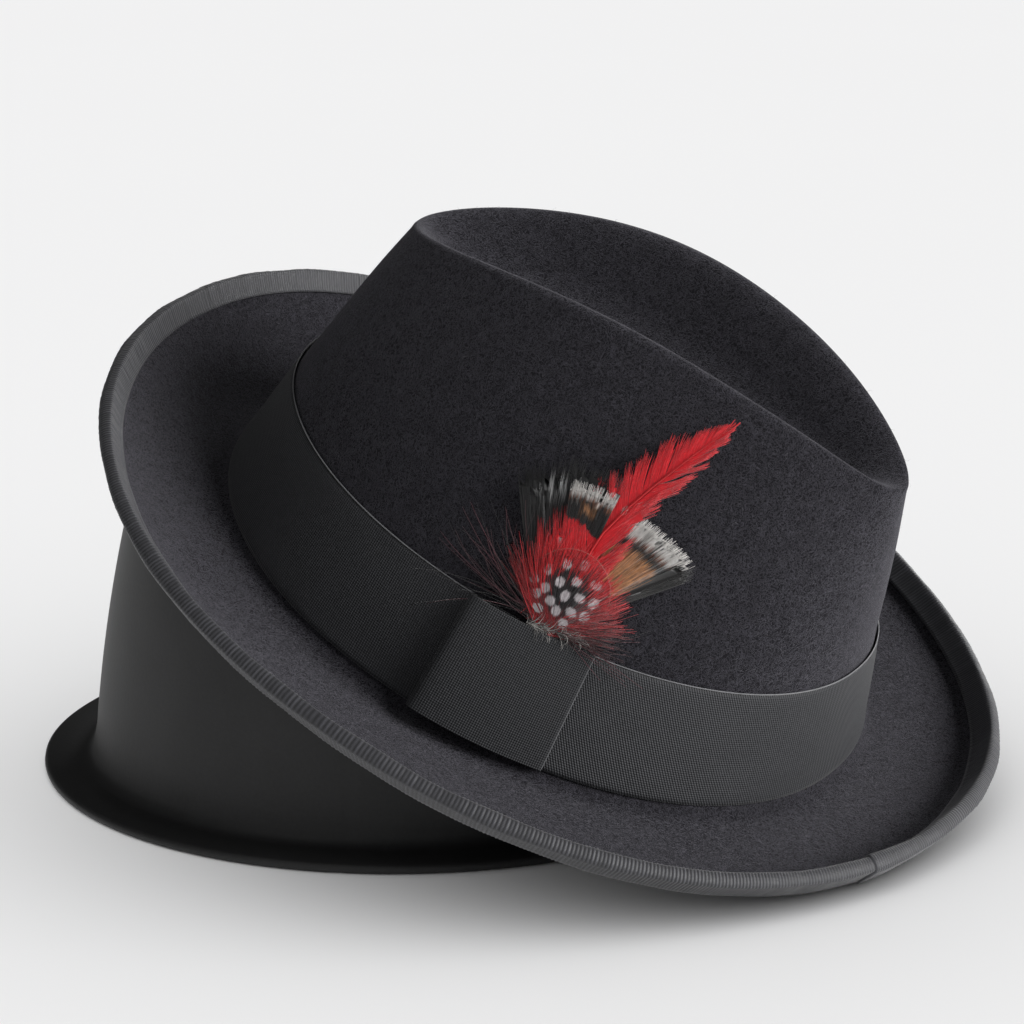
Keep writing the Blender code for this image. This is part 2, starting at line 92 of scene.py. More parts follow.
FLANGE_FILLET = 0.004
STAND_TAPER = 0.0175
TAPER_HEIGHT = 0.100
TAPER_CURVED = 0.625
STAND_SHOULDER = 0.010
HAT_RIGHT = 0.0433
HAT_NEAR = 0.0286
HAT_TURN = math.radians(-27.9)
HAT_PITCH = math.radians(26.16)
HAT_LEAN = math.radians(6.4)

CROWN_WALL = ((0.00, 1.000), (0.22, 0.815), (0.44, 0.615), (0.66, 0.395), (0.84, 0.195), (0.95, 0.065))
DENT = ((0.00, 0.00), (0.10, 0.05), (0.30, 0.36), (0.55, 0.77), (0.80, 0.96), (0.96, 1.00))
BRIM = ((0.00, 0.00), (0.38, 0.16), (0.72, 0.52), (1.00, 1.00))
EDGE = ((0.45, 0.36), (1.00, 1.00))
BOW_FOLD = (
    (0.000, 0.00), (0.300, 0.34), (0.650, 0.74), (0.940, 1.00), (0.985, 0.93),
    (1.000, 0.72), (1.000, 0.42), (0.985, 0.20), (0.930, 0.10), (0.640, 0.02),
)

# How finely the looks are meshed
FELT_AROUND = 360
FELT_STEP = 0.0026
BINDING_RIBS = 780
STEPS_PER_RIB = 4
BAND_AROUND = 640
THREAD_SIDES = 8
SHAFT_SIDES = 7
CLEAR = 0.0001

# Felt: waves left by blocking, and loose fibres (in mm)
BLOCKING_WAVE = 0.055
BLOCKING_HEIGHT = 0.00035
FIBRES = 16500
FIBRE_LENGTHS = (0.7, 2.0)
FIBRE_HALF_WIDTHS = (0.022, 0.040)
FIBRE_CURL = 2.6
FIBRE_CLEAR = 0.00006

# Binding: where its inner edge lies, as a share of the brim's turned edge (front, back, side), its ribs,
# puckers, hem and lapped end
BINDING_FROM = (0.42, 0.30, 0.32)
RIB_RELIEF = 0.00022
PUCKER_SIZE = 0.022
PUCKER_HEIGHT = 0.00022
HEM_ROWS = 0.8
HEM_HEIGHT = 0.00018
THREADS_PER_ROW = 2.6
SEAM_AT = math.radians(340.0)
SEAM_LAP = math.radians(7.0)
SEAM_STEP = 0.00055

# Band: where it is joined under the bow, and its weave's spacing in mm
BAND_JOINED_AT = math.radians(288)
BAND_RIB = 0.78
BAND_SLANT = 1.25
BAND_PICK = 0.62
BOW_CELL = 0.00062
BAND_SELVEDGE = 0.00020
BOW_SELVEDGE = 0.00024
UPWARDS = (0.0, 0.0, 1.0)

# Feathers: the web under the barbs, the red feather's shaft and the spotted feather's edge line, a painted
# highlight
WEB_UNDER = 0.00008
SHAFT_AT_FOOT = 0.00042
SHAFT_AT_TIP = 0.00010
SPOTTED_HIGHLIGHT_LINE = 0.00009
ACROSS_FEATHERS = (0.1, -0.9, 0.3)

# Colours
FELT_DARKS = ((0.0080, 0.0074, 0.0098), (0.0104, 0.0098, 0.0118))
FELT_PALE = (0.050, 0.048, 0.058)
FIBRE_TINT = (0.98, 0.95, 1.06)
SHEEN_TINT = (0.92, 0.90, 1.0, 1.0)
# Binding: from the dark of the grooves, a painted shade, to the light of the rib crests, a painted highlight
BINDING_SHADE_AND_HIGHLIGHT_COLOURS = ((0.004, 0.004, 0.005), (0.070, 0.070, 0.080))
BAND_COLOURS = ((0.003, 0.003, 0.004), (0.046, 0.047, 0.052))
BOW_COLOURS = ((0.004, 0.004, 0.005), (0.036, 0.037, 0.041))
SELVEDGE_COLOUR = (0.20, 0.20, 0.21)
STAND_COLOURS = ((0.018, 0.018, 0.018), (0.046, 0.046, 0.047))
FLOOR_COLOURS = ((0.865, 0.865, 0.868), (0.875, 0.875, 0.878))
SKY = (0.99, 0.995, 1.0, 1.0)
BLACK = (0.0, 0.0, 0.0)
DYED_RED = np.array([0.78, 0.008, 0.018])
SHAFT_RED = (0.62, 0.014, 0.018)
HACKLE_RED = np.array([0.74, 0.008, 0.016])
HACKLE_WINE = np.array([0.050, 0.004, 0.007])
WISP_PINK = np.array([0.16, 0.045, 0.060])
WISP_BLACK = np.array([0.012, 0.009, 0.010])
GLOSSY_BLACK = np.array([1.0, 0.98, 1.02])
COPPER = np.array([0.66, 0.30, 0.12])
BAR_BLACK = np.array([0.008, 0.007, 0.007])
RUST = np.array([0.22, 0.07, 0.03])
TIP_WHITE = np.array([0.78, 0.75, 0.72])
SPOTTED_BLACK = np.array([0.010, 0.006, 0.008])
SPOTTED_RED = np.array([0.44, 0.006, 0.012])
SPOT_WHITE = np.array([0.72, 0.66, 0.68])
# Pale pink of the line along the spotted feather's top edge: a painted highlight
HIGHLIGHT_PINK = (0.55, 0.20, 0.17)
DOWN_TINT = np.array([1.0, 0.95, 0.90])

# Stand and stage
STAND_SEAM_AT = math.radians(262.0)
STAND_SEAM_WIDTH = 0.004
STAND_SEAM_DEPTH = 0.00025
STAND_AROUND = 360
FLOOR_REACH = 14.0

# Light: the even light of the room, and suns (name, azimuth from behind the camera to the right, height,
# power, width); the overhead one lights the floor alone, and the others light all but the floor
AMBIENT = 0.05
SUNS = (
    ("overhead", 0.0, 90.0, 3.05, 150.0),
    ("key", 66.0, 20.0, 4.2, 36.0),
    ("rim", 150.0, 14.0, 1.5, 40.0),
    ("fill", -30.0, 38.0, 0.35, 60.0),
)


# The hat's surfaces, in the hat's own frame

def varied(theta, front, back, side):
    """A size that is front, back and side at those places of the hat, and goes smoothly between them."""
    along = np.cos(theta)
    return side * np.sin(theta) ** 2 + (front + back) / 2 * along**2 + (back - front) / 2 * along


def oval(theta, front, back, side):
    cos, sin = np.cos(theta), np.sin(theta)
    x = np.where(cos > 0, back, front) * np.sign(cos) * np.abs(cos) ** (2 / OVAL_POWER)
    y = side * np.sign(sin) * np.abs(sin) ** (2 / OVAL_POWER)
    return np.stack([x, y], axis=-1)


def wall_point(theta, height):
    """The crown's wall at a height above the crease, within the height of the band."""
    halves = (HEAD_LENGTH / 2, HEAD_LENGTH / 2, HEAD_WIDTH / 2)
    plan = oval(theta, *(half - lean * (height / BAND_HEIGHT) for half, lean in zip(halves, LEAN)))
    crease = varied(theta, *CREASE)
    return np.concatenate([plan, (crease + height)[..., None]], axis=-1)


def lip_point(theta):
    half_width = LIP_WIDTH / 2 * (1 - LIP_TAPER * np.cos(theta))
    x = LIP_SHIFT + LIP_LENGTH / 2 * np.cos(theta)
    return np.stack([x, half_width * np.sin(theta), varied(theta, LIP_FRONT, LIP_BACK, LIP_SIDE)], axis=-1)


def crown_point(theta, rise, spread):
    foot, lip = wall_point(theta, np.full_like(theta, BAND_HEIGHT)), lip_point(theta)
    plan = lip[..., :2] + (foot - lip)[..., :2] * spread
    height = foot[..., 2] + (lip - foot)[..., 2] * rise
    return np.concatenate([plan, height[..., None]], axis=-1)


def dent_point(theta, inward, drop):
    lip = lip_point(theta)
    x = LIP_SHIFT + (lip[..., 0] - LIP_SHIFT) * (1 - DENT_SHORTENING * inward)
    floor = LIP_SIDE - DENT_DEPTH + (LIP_BACK - LIP_FRONT) / LIP_LENGTH * (x - LIP_SHIFT)
    return np.stack([x, lip[..., 1] * (1 - inward), lip[..., 2] + (floor - lip[..., 2]) * drop], axis=-1)


def brim_point(theta, reach, lift):
    foot = wall_point(theta, np.zeros_like(theta))
    radius = np.hypot(foot[..., 0], foot[..., 1])
    plan = foot[..., :2] * ((radius + reach) / radius)[..., None]
    base = foot[..., 2] - CREASE_DROP
    dip = RIM_CORNER_DIP * (1 - np.cos(4 * theta)) / 2 * lift
    height = base + (varied(theta, *RIM_HEIGHT) - base) * lift - dip
    return np.concatenate([plan, height[..., None]], axis=-1)


def felt_rings(theta):
    """The rings of the felt's upper side, from the dent's middle line to the rim."""
    width = varied(theta, *BRIM_WIDTH) - BINDING - RIBBON_GAP
    edge = varied(theta, *EDGE_WIDTH)
    before = varied(theta, *BEFORE_EDGE)
    flat = width - edge - CREASE_FILLET
    rings = [dent_point(theta, *row) for row in reversed(DENT)]
    rings += [crown_point(theta, *row) for row in reversed(CROWN_WALL)]
    rings += [wall_point(theta, np.full_like(theta, h)) for h in (BAND_HEIGHT / 2, RIBBON_FOOT)]
    rings += [brim_point(theta, CREASE_FILLET + flat * out, before * lift) for out, lift in BRIM]
    rings += [brim_point(theta, width - edge * (1 - out), before + (1 - before) * lift) for out, lift in EDGE]
    return np.array(rings)


def smooth_between(rings, step):
    """Smooth curves through the rings of a grid, with a place about every step, and each ring's own place."""
    chords = np.linalg.norm(np.diff(rings, axis=0), axis=-1).mean(axis=1)
    spans = np.sqrt(chords)[:, None, None]
    slopes = np.diff(rings, axis=0) / spans
    tangents = np.concatenate([slopes[:1], slopes])
    tangents[1:-1] = (spans[1:] * slopes[:-1] + spans[:-1] * slopes[1:]) / (spans[:-1] + spans[1:])
    places, firsts = [], []
    for i, chord in enumerate(chords):
        count = max(2, round(chord / step))
        firsts.append(sum(len(p) for p in places))
        t = (np.arange(count) / count)[:, None, None]
        places.append(
            (2 * t**3 - 3 * t**2 + 1) * rings[i]
            + (t**3 - 2 * t**2 + t) * spans[i] * tangents[i]
            + (3 * t**2 - 2 * t**3) * rings[i + 1]
            + (t**3 - t**2) * spans[i] * tangents[i + 1]
        )
    places.append(rings[-1:])
    return np.concatenate(places), firsts


def normals_of(rows):
    """The outward normal at each point of a grid of closed rings."""
    along = np.gradient(rows, axis=0)
    turn = np.roll(rows, -1, axis=1) - np.roll(rows, 1, axis=1)
    return unit(np.cross(along, turn))


def wall_normal(theta, height):
    step = 1e-4
    turn = wall_point(theta + step, height) - wall_point(theta - step, height)
    rise = wall_point(theta, height + step) - wall_point(theta, height - step)
    return unit(np.cross(turn, rise))


def off_wall(theta, height, distance):
    return wall_point(theta, height) + wall_normal(theta, height) * np.asarray(distance)[..., None]


def swell(points, size, seed):
    """Soft irregular waves of that size, as a value from about -1 to 1 at each point."""
    rng = np.random.default_rng(seed)
    total = np.zeros(points.shape[:-1])
    for _ in range(9):
        wave = rng.normal(size=3)
        wave *= 2 * math.pi / (size * rng.uniform(0.7, 1.6)) / np.linalg.norm(wave)
        total += np.sin(points @ wave + rng.uniform(0, 2 * math.pi))
    return total / 4


def unit(vectors):
    return vectors / np.linalg.norm(vectors, axis=-1, keepdims=True)


def blend(first, second, share):
    """The first where share is 0, the second where it is 1."""
    return first * (1 - share) + second * share


def arc_length(points):
    """The distance from the first point of a line to each of its points."""
    return np.concatenate([[0.0], np.linalg.norm(np.diff(points, axis=0), axis=-1).cumsum()])


# Meshes

def hat_matrix():
    """The hat's pose on its stand, at the height where its top is as high as the felt solid's top."""
    turn = Matrix.Rotation(HAT_TURN, 4, "Z") @ Matrix.Rotation(HAT_PITCH, 4, "Y")
    turn = turn @ Matrix.Rotation(HAT_LEAN, 4, "X")
    around = np.linspace(0, 2 * math.pi, 2 * FELT_AROUND)
    top = (felt_rings(around).reshape(-1, 3) @ np.array(turn)[2, :3]).max()
    return Matrix.Translation((HAT_RIGHT, -HAT_NEAR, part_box("hat_body")[1].z - top)) @ turn


def turn_outwards(mesh):
    work = bmesh.new()
    work.from_mesh(mesh)
    bmesh.ops.recalc_face_normals(work, faces=work.faces)
    work.to_mesh(mesh)
    work.free()


def piece(name, points, faces, finish, nodes=(), tint=None, weave=None, pose=None, closed=False):
    """A smooth mesh that rides on the body, with its finish; without a pose it is in the world's frame."""
    mesh = bpy.data.meshes.new(name)
    mesh.from_pydata(points.tolist(), [], faces)
    if pose is not None:
        mesh.transform(pose)
    if tint is not None:
        colours = np.concatenate([tint, np.ones((len(tint), 1))], axis=1).astype(np.float32)
        mesh.attributes.new("tint", "FLOAT_COLOR", "POINT").data.foreach_set("color", colours.ravel())
    if weave is not None:
        vectors = weave.astype(np.float32).ravel()
        mesh.attributes.new("weave", "FLOAT_VECTOR", "POINT").data.foreach_set("vector", vectors)
    mesh.shade_smooth()
    mesh.materials.append(finish)
    thing = bpy.data.objects.new(name, mesh)
    bpy.context.scene.collection.objects.link(thing)
    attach(thing, "root")
    if nodes:
        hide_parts(*nodes)
    if closed:
        turn_outwards(mesh)


def grid_faces(rows, columns, close_rows=False, close_columns=False):
    """Quads of a grid of points, row by row."""
    row = np.arange(rows if close_rows else rows - 1)[:, None]
    column = np.arange(columns if close_columns else columns - 1)[None, :]
    next_row, next_column = (row + 1) % rows, (column + 1) % columns
    corners = [row * columns + column, row * columns + next_column]
    corners += [next_row * columns + next_column, next_row * columns + column]
    return np.stack(corners, axis=-1).reshape(-1, 4).tolist()


def zip_faces(first, around, flip):
    """Closes a long narrow ring by joining the points that face each other across its middle line."""
    half = around // 2
    faces = [(first, first + 1, first + around - 1), (first + half, first + half + 1, first + half - 1)]
    for step in range(1, half - 1):
        faces.append((first + around - step, first + step, first + step + 1, first + around - step - 1))
    return [tuple(reversed(f)) for f in faces] if flip else faces


def tube(path, radii, sides, beside, ring=False):
    """Points and faces of a round rod along a path; beside is a direction that the path never takes."""
    along = np.roll(path, -1, axis=0) - np.roll(path, 1, axis=0) if ring else np.gradient(path, axis=0)
    along = unit(along)
    side = unit(np.cross(along, beside))
    up = np.cross(side, along)
    turn = np.linspace(0, 2 * math.pi, sides, endpoint=False)[:, None]
    spokes = side[:, None] * np.cos(turn) + up[:, None] * np.sin(turn)
    points = path[:, None] + radii[:, None, None] * spokes
    faces = grid_faces(len(path), sides, close_rows=ring, close_columns=True)
    if not ring:
        faces.append(list(range(sides)))
        faces.append([(len(path) - 1) * sides + i for i in range(sides)])
    return points.reshape(-1, 3), faces


def strands(centres, widths, sides):
    """Points and faces of thin strands along rows of centres, each a slim prism with its flat side down."""
    count, stations = centres.shape[:2]
    left, top = centres - sides * widths[..., None], centres
    right = centres + sides * widths[..., None]
    along = np.gradient(centres, axis=1)
    up = np.cross(along, sides)
    up /= np.linalg.norm(up, axis=-1, keepdims=True) + 1e-12
    top = top + up * widths[..., None] * 0.8
    points = np.stack([left, top, right], axis=2).reshape(-1, 3)
    base = (np.arange(count) * stations * 3)[:, None, None]
    station = (np.arange(stations - 1) * 3)[None, :, None]
    corner = np.arange(3)[None, None, :]
    after = (corner + 1) % 3
    quads = np.stack([base + station + corner, base + station + after,
                      base + station + 3 + after, base + station + 3 + corner], axis=-1).reshape(-1, 4)
    ends = np.concatenate([
        np.stack([base[:, 0, 0], base[:, 0, 0] + 2, base[:, 0, 0] + 1], axis=-1),
        np.stack([base[:, 0, 0] + 3 * stations - 3, base[:, 0, 0] + 3 * stations - 2,
                  base[:, 0, 0] + 3 * stations - 1], axis=-1),
    ])
    return points, quads.tolist() + ends.tolist()


def flat_strands(centres, widths, sides):
    """Points and faces of fine fibres, each a thin flat strip."""
    count, stations = centres.shape[:2]
    points = np.stack([centres - sides * widths[..., None], centres + sides * widths[..., None]], axis=2)
    base = (np.arange(count) * stations * 2)[:, None]
    station = (np.arange(stations - 1) * 2)[None, :]
    first = base + station
    quads = np.stack([first, first + 1, first + 3, first + 2], axis=-1).reshape(-1, 4)
    return points.reshape(-1, 3), quads.tolist()


# Materials

class Finish:
    """A node material round one Principled shader."""

    def __init__(self, name, roughness, sheen=0.0, specular=0.5):
        self.material = bpy.data.materials.new(name)
        self.material.use_nodes = True
        self.tree = self.material.node_tree
        self.shader = self.tree.nodes["Principled BSDF"]
        self.shader.inputs["Roughness"].default_value = roughness
        self.shader.inputs["Specular IOR Level"].default_value = specular
        self.shader.inputs["Sheen Weight"].default_value = sheen
        self.shader.inputs["Sheen Roughness"].default_value = 0.45

    def put(self, value, socket):
        if isinstance(value, bpy.types.NodeSocket):
            self.tree.links.new(value, socket)
        elif hasattr(socket.default_value, "__len__") and not hasattr(value, "__len__"):
            socket.default_value = [value] * len(socket.default_value)
        elif hasattr(value, "__len__") and len(socket.default_value) == 4:
            socket.default_value = (*value, 1.0)
        else:
            socket.default_value = value

    def math(self, operation, first, second=0.0, clamp=False):
        node = self.tree.nodes.new("ShaderNodeMath")
        node.operation = operation
        node.use_clamp = clamp
        self.put(first, node.inputs[0])
        self.put(second, node.inputs[1])
        return node.outputs[0]

    def mix(self, share, first, second):
        node = self.tree.nodes.new("ShaderNodeMix")
        node.data_type = "RGBA"
        self.put(share, node.inputs["Factor"])
        self.put(first, node.inputs[6])
        self.put(second, node.inputs[7])
        return node.outputs[2]

    def place(self):
        return self.tree.nodes.new("ShaderNodeTexCoord").outputs["Object"]

    def attribute(self, name, output):
        node = self.tree.nodes.new("ShaderNodeAttribute")
        node.attribute_name = name
        return node.outputs[output]

    def split(self, vector):
        node = self.tree.nodes.new("ShaderNodeSeparateXYZ")
        self.put(vector, node.inputs[0])
        return node.outputs

    def shifted(self, vector, by):
        node = self.tree.nodes.new("ShaderNodeVectorMath")
        node.operation = "ADD"
        self.put(vector, node.inputs[0])
        node.inputs[1].default_value = by
        return node.outputs[0]

    def noise(self, vector, size, detail=2.0, distortion=0.0, roughness=0.5):
        node = self.tree.nodes.new("ShaderNodeTexNoise")
        self.put(vector, node.inputs["Vector"])
        node.inputs["Scale"].default_value = 1 / size
        node.inputs["Detail"].default_value = detail
        node.inputs["Distortion"].default_value = distortion
        node.inputs["Roughness"].default_value = roughness
        return node.outputs["Fac"]

    def wave(self, phase):
        """From 0 to 1 and back as the phase goes up by one."""
        turned = self.math("MULTIPLY", phase, 2 * math.pi)
        return self.math("ADD", self.math("MULTIPLY", self.math("SINE", turned), 0.5), 0.5)

    def ridge(self, value, width):
        """1 where a value from 0 to 1 crosses its middle, falling to 0 at that distance from it."""
        away = self.math("ABSOLUTE", self.math("SUBTRACT", value, 0.5))
        return self.math("SUBTRACT", 1.0, self.math("DIVIDE", away, width), clamp=True)

    def bump(self, height, distance, strength=1.0):
        node = self.tree.nodes.new("ShaderNodeBump")
        node.inputs["Distance"].default_value = distance
        node.inputs["Strength"].default_value = strength
        self.put(height, node.inputs["Height"])
        self.put(node.outputs[0], self.shader.inputs["Normal"])

    def colour(self, value):
        self.put(value, self.shader.inputs["Base Color"])


def felt_finish():
    """Dense felt: short curled fibres, paler than the felt between them."""
    felt = Finish("felt", roughness=0.95, sheen=0.20, specular=0.12)
    felt.shader.inputs["Sheen Tint"].default_value = SHEEN_TINT
    place = felt.place()
    curls = felt.ridge(felt.noise(place, 0.0013, detail=1.5, distortion=1.3), 0.055)
    finer = felt.ridge(felt.noise(felt.shifted(place, (0.31, 0.17, 0.23)), 0.0009, 1.0, 1.0), 0.055)
    patches = felt.noise(felt.shifted(place, (0.7, 0.1, 0.4)), 0.004, detail=2.0)
    fibres = felt.math("MAXIMUM", curls, felt.math("MULTIPLY", finer, 0.7))
    fibres = felt.math("MULTIPLY", fibres, felt.math("ADD", 0.45, patches), clamp=True)
    broad = felt.noise(felt.shifted(place, (0.2, 0.5, 0.9)), 0.03, detail=2.0)
    felt.colour(felt.mix(fibres, felt.mix(broad, *FELT_DARKS), FELT_PALE))
    felt.bump(fibres, 0.00022, 0.8)
    return felt.material


def ribbon_finish(name, dark, light):
    """Fine ribbed ribbon, from the weave attribute: its first value counts ribs, its second picks."""
    ribbon = Finish(name, roughness=0.6, sheen=0.15, specular=0.35)
    along, across, _ = ribbon.split(ribbon.attribute("weave", "Vector"))
    ribs, picks = ribbon.wave(along), ribbon.wave(across)
    uneven = ribbon.noise(ribbon.place(), 0.0011, detail=3.0)
    woven = ribbon.math("ADD", ribbon.math("MULTIPLY", ribs, 0.62), ribbon.math("MULTIPLY", picks, 0.38))
    woven = ribbon.math("MULTIPLY", woven, ribbon.math("ADD", uneven, 0.55), clamp=True)
    ribbon.colour(ribbon.mix(woven, dark, light))
    ribbon.bump(woven, 0.00022, 0.8)
    return ribbon.material


def thread_finish(name):
    """The paler thread of a ribbon's woven edge."""
    thread = Finish(name, roughness=0.6, sheen=0.3, specular=0.4)
    place = thread.place()
    share = thread.noise(place, 0.0016, detail=2.0)
    thread.colour(thread.mix(share, tuple(c * 0.55 for c in SELVEDGE_COLOUR), SELVEDGE_COLOUR))
    thread.bump(thread.noise(place, 0.0004), 0.0001, 0.6)
    return thread.material


def binding_finish():
    """Ribbed binding ribbon: the weave attribute counts its fine threads and gives each rib's height. Its
    colour varies with the fine threads, and is lighter on the raised ribs and darker in the grooves, a
    painted highlight and painted shade.
    """
    binding = Finish("binding_ribbon", roughness=0.50, sheen=0.25, specular=0.5)
    _, across, rib = binding.split(binding.attribute("weave", "Vector"))
    uneven = binding.noise(binding.place(), 0.0012, detail=3.0)
    threads = binding.math("MULTIPLY", binding.wave(across), uneven)
    ribs, fine = binding.math("MULTIPLY", rib, 0.75), binding.math("MULTIPLY", threads, 0.35)
    # Lighter on the rib crests and darker in the grooves: painted highlight and painted shade; the fine
    # threads add a real weave
    binding.colour(binding.mix(binding.math("ADD", ribs, fine, clamp=True), *BINDING_SHADE_AND_HIGHLIGHT_COLOURS))
    binding.bump(threads, 0.00012, 0.6)
    return binding.material


def feather_finish(name, roughness=0.5, sheen=0.2):
    """Barbs coloured by the tint attribute, with a fine streak along them."""
    barb = Finish(name, roughness=roughness, sheen=sheen, specular=0.4)
    tint = barb.attribute("tint", "Color")
    streak = barb.noise(barb.place(), 0.0009, detail=2.0)
    barb.colour(barb.mix(barb.math("MULTIPLY", streak, 0.45), tint, BLACK))
    return barb.material


def stand_finish():
    """Matt black moulding with a very fine grain and faint mottling."""
    stand = Finish("stand_moulding", roughness=0.55, specular=0.35)
    place = stand.place()
    grain = stand.noise(place, 0.0012, detail=3.0, roughness=0.7)
    cloudy = stand.noise(stand.shifted(place, (0.3, 0.6, 0.2)), 0.02, detail=3.0)
    share = stand.math("ADD", stand.math("MULTIPLY", grain, 0.5), stand.math("MULTIPLY", cloudy, 0.5))
    stand.colour(stand.mix(share, *STAND_COLOURS))
    stand.bump(grain, 0.00012, 0.5)
    return stand.material


# Felt hat

def felt_surface(around, step):
    """The felt's upper side, with soft waves left by hand blocking, and its normals."""
    theta = np.linspace(0, 2 * math.pi, around, endpoint=False)
    rows, firsts = smooth_between(felt_rings(theta), step)
    normals = normals_of(rows)
    band_top = firsts[len(DENT) + len(CROWN_WALL) - 1]
    brim_foot = firsts[len(DENT) + len(CROWN_WALL) + 2]
    edge_foot = firsts[len(DENT) + len(CROWN_WALL) + 5]
    row = np.arange(len(rows))[:, None]
    crown = np.clip((band_top - row) / 6, 0, 1)
    brim = np.clip((row - brim_foot) / 5, 0, 1) * np.clip((edge_foot - row) / 3, 0, 1)
    wave = swell(rows, BLOCKING_WAVE, seed=3) * BLOCKING_HEIGHT * (crown + brim)
    return rows + normals * wave[..., None], normals


def make_felt(pose, material):
    """The felt as a closed shell, its hollow open below."""
    outer, normals = felt_surface(FELT_AROUND, FELT_STEP)
    inner = (outer - normals * FELT)[::2]
    rings = np.concatenate([outer, inner[::-1]])
    around = FELT_AROUND
    faces = grid_faces(len(rings), around, close_columns=True)
    faces += zip_faces(0, around, flip=False) + zip_faces((len(rings) - 1) * around, around, flip=True)
    piece("felt_hat", rings.reshape(-1, 3), faces, material, ["hat_body"], pose=pose, closed=True)
    return outer, normals


def make_fuzz(pose, outer, normals, material):
    """Short loose fibres that lie on the felt and stand a little off it, a few of them pale."""
    rng = np.random.default_rng(11)
    area = np.linalg.norm(np.diff(outer, axis=0), axis=-1)
    area = area * np.linalg.norm(np.roll(outer, -1, axis=1) - outer, axis=-1)[:-1]
    chance = area.ravel() / area.sum()
    count, stations = FIBRES, 4
    cell = rng.choice(len(chance), size=count, p=chance)
    row, column = np.divmod(cell, outer.shape[1])
    foot, normal = outer[row, column], normals[row, column]
    step_down = outer[row + 1, column] - foot
    step_round = outer[row, (column + 1) % outer.shape[1]] - foot
    foot = foot + step_down * rng.random((count, 1)) + step_round * rng.random((count, 1))
    side = unit(np.cross(normal, rng.normal(size=(count, 3))))
    ahead = np.cross(side, normal)
    length = rng.uniform(*FIBRE_LENGTHS, count) * MM
    curl = rng.uniform(-FIBRE_CURL, FIBRE_CURL, count)
    lift = rng.uniform(0.05, 0.45, count) ** 1.5
    centres = np.empty((count, stations, 3))
    for i in range(stations):
        t = i / (stations - 1)
        turn = (curl * t)[:, None]
        reach = (ahead * np.cos(turn) + side * np.sin(turn)) * (length * t)[:, None]
        centres[:, i] = foot + reach + normal * (length * lift * t * (1.6 - t) + FIBRE_CLEAR)[:, None]
    taper = np.linspace(1.0, 0.35, stations)[None, :]
    widths = rng.uniform(*FIBRE_HALF_WIDTHS, (count, 1)) * MM * taper
    across = unit(np.cross(np.gradient(centres, axis=1), normal[:, None, :]))
    points, faces = flat_strands(centres, widths, across)
    shade = rng.uniform(0.02, 0.09, count) * (1 + 2.0 * (rng.random(count) > 0.985))
    tint = np.repeat(shade[:, None] * np.array([FIBRE_TINT]), stations * 2, axis=0)
    piece("felt_fibres", points, faces, material, tint=tint, pose=pose)


# Binding

def make_binding(pose, material):
    """A ribbed ribbon folded over the brim's edge, with its overlapped end at the right."""
    columns = BINDING_RIBS * STEPS_PER_RIB
    theta = np.linspace(0, 2 * math.pi, columns, endpoint=False)
    rows, firsts = smooth_between(felt_rings(theta), FELT_STEP / 2)
    normals = normals_of(rows)
    start = varied(theta, *BINDING_FROM)
    at = firsts[-2] + (len(rows) - 1 - firsts[-2]) * (start + (1 - start) * np.linspace(0, 1, 8)[:, None])
    low = np.minimum(at.astype(int), len(rows) - 2)
    part, column = (at - low)[..., None], np.arange(columns)[None, :]
    upper = blend(rows[low, column], rows[low + 1, column], part)
    normal = blend(normals[low, column], normals[low + 1, column], part)
    outward = unit(upper[-1] - upper[-3])
    far, near = RIBBON_GAP + BINDING, CLEAR
    middle = upper[-1] - normal[-1] * FELT / 2
    half = FELT / 2 + far
    cap = [
        middle + normal[-1] * half * math.cos(a) + outward * far * math.sin(a)
        for a in np.linspace(0, math.pi, 7)[1:-1]
    ]
    section = [upper[i] + normal[i] * far for i in range(len(upper))]
    section += cap
    section += [upper[i] - normal[i] * (FELT + far) for i in range(len(upper) - 1, -1, -1)]
    outer_count = len(section)
    section += [upper[i] - normal[i] * (FELT + near) for i in (0, len(upper) // 2, len(upper) - 1)]
    section += [upper[i] + normal[i] * near for i in (len(upper) - 1, len(upper) // 2, 0)]
    section = np.array(section)
    facing = normals_of(section[:outer_count])
    rng = np.random.default_rng(5)
    heights = np.repeat(rng.uniform(0.55, 1.1, BINDING_RIBS), STEPS_PER_RIB)
    share = np.linspace(0, 1, outer_count)[:, None]
    skew = 0.35 * np.sin(share * math.pi)
    ribs = 0.5 + 0.5 * np.cos(2 * math.pi * (np.arange(columns)[None, :] / STEPS_PER_RIB + skew))
    relief = ribs * heights[None, :] * RIB_RELIEF
    pucker = swell(section[:outer_count], PUCKER_SIZE, seed=8) * PUCKER_HEIGHT
    past = (theta - SEAM_AT) % (2 * math.pi)
    lap = np.where(past < SEAM_LAP, SEAM_STEP * (1 - past / SEAM_LAP), 0.0)
    from_hem = np.minimum(share, 1 - share) * (outer_count - 1)
    hem = np.exp(-((from_hem / HEM_ROWS) ** 2)) * HEM_HEIGHT
    section[:outer_count] += facing * (relief + pucker + lap[None, :] + hem)[..., None]
    weave = np.zeros((*section.shape[:2], 3))
    weave[..., 1] = (np.arange(len(section)) * THREADS_PER_ROW)[:, None]
    # The rib heights also set the colour: the lighter crests are a painted highlight
    weave[:outer_count, :, 2] = ribs * heights
    faces = grid_faces(len(section), columns, close_rows=True, close_columns=True)
    piece("brim_binding_ribbon", section.reshape(-1, 3), faces, material,
          ["brim_binding"], weave=weave.reshape(-1, 3), pose=pose, closed=True)


# Band and bow

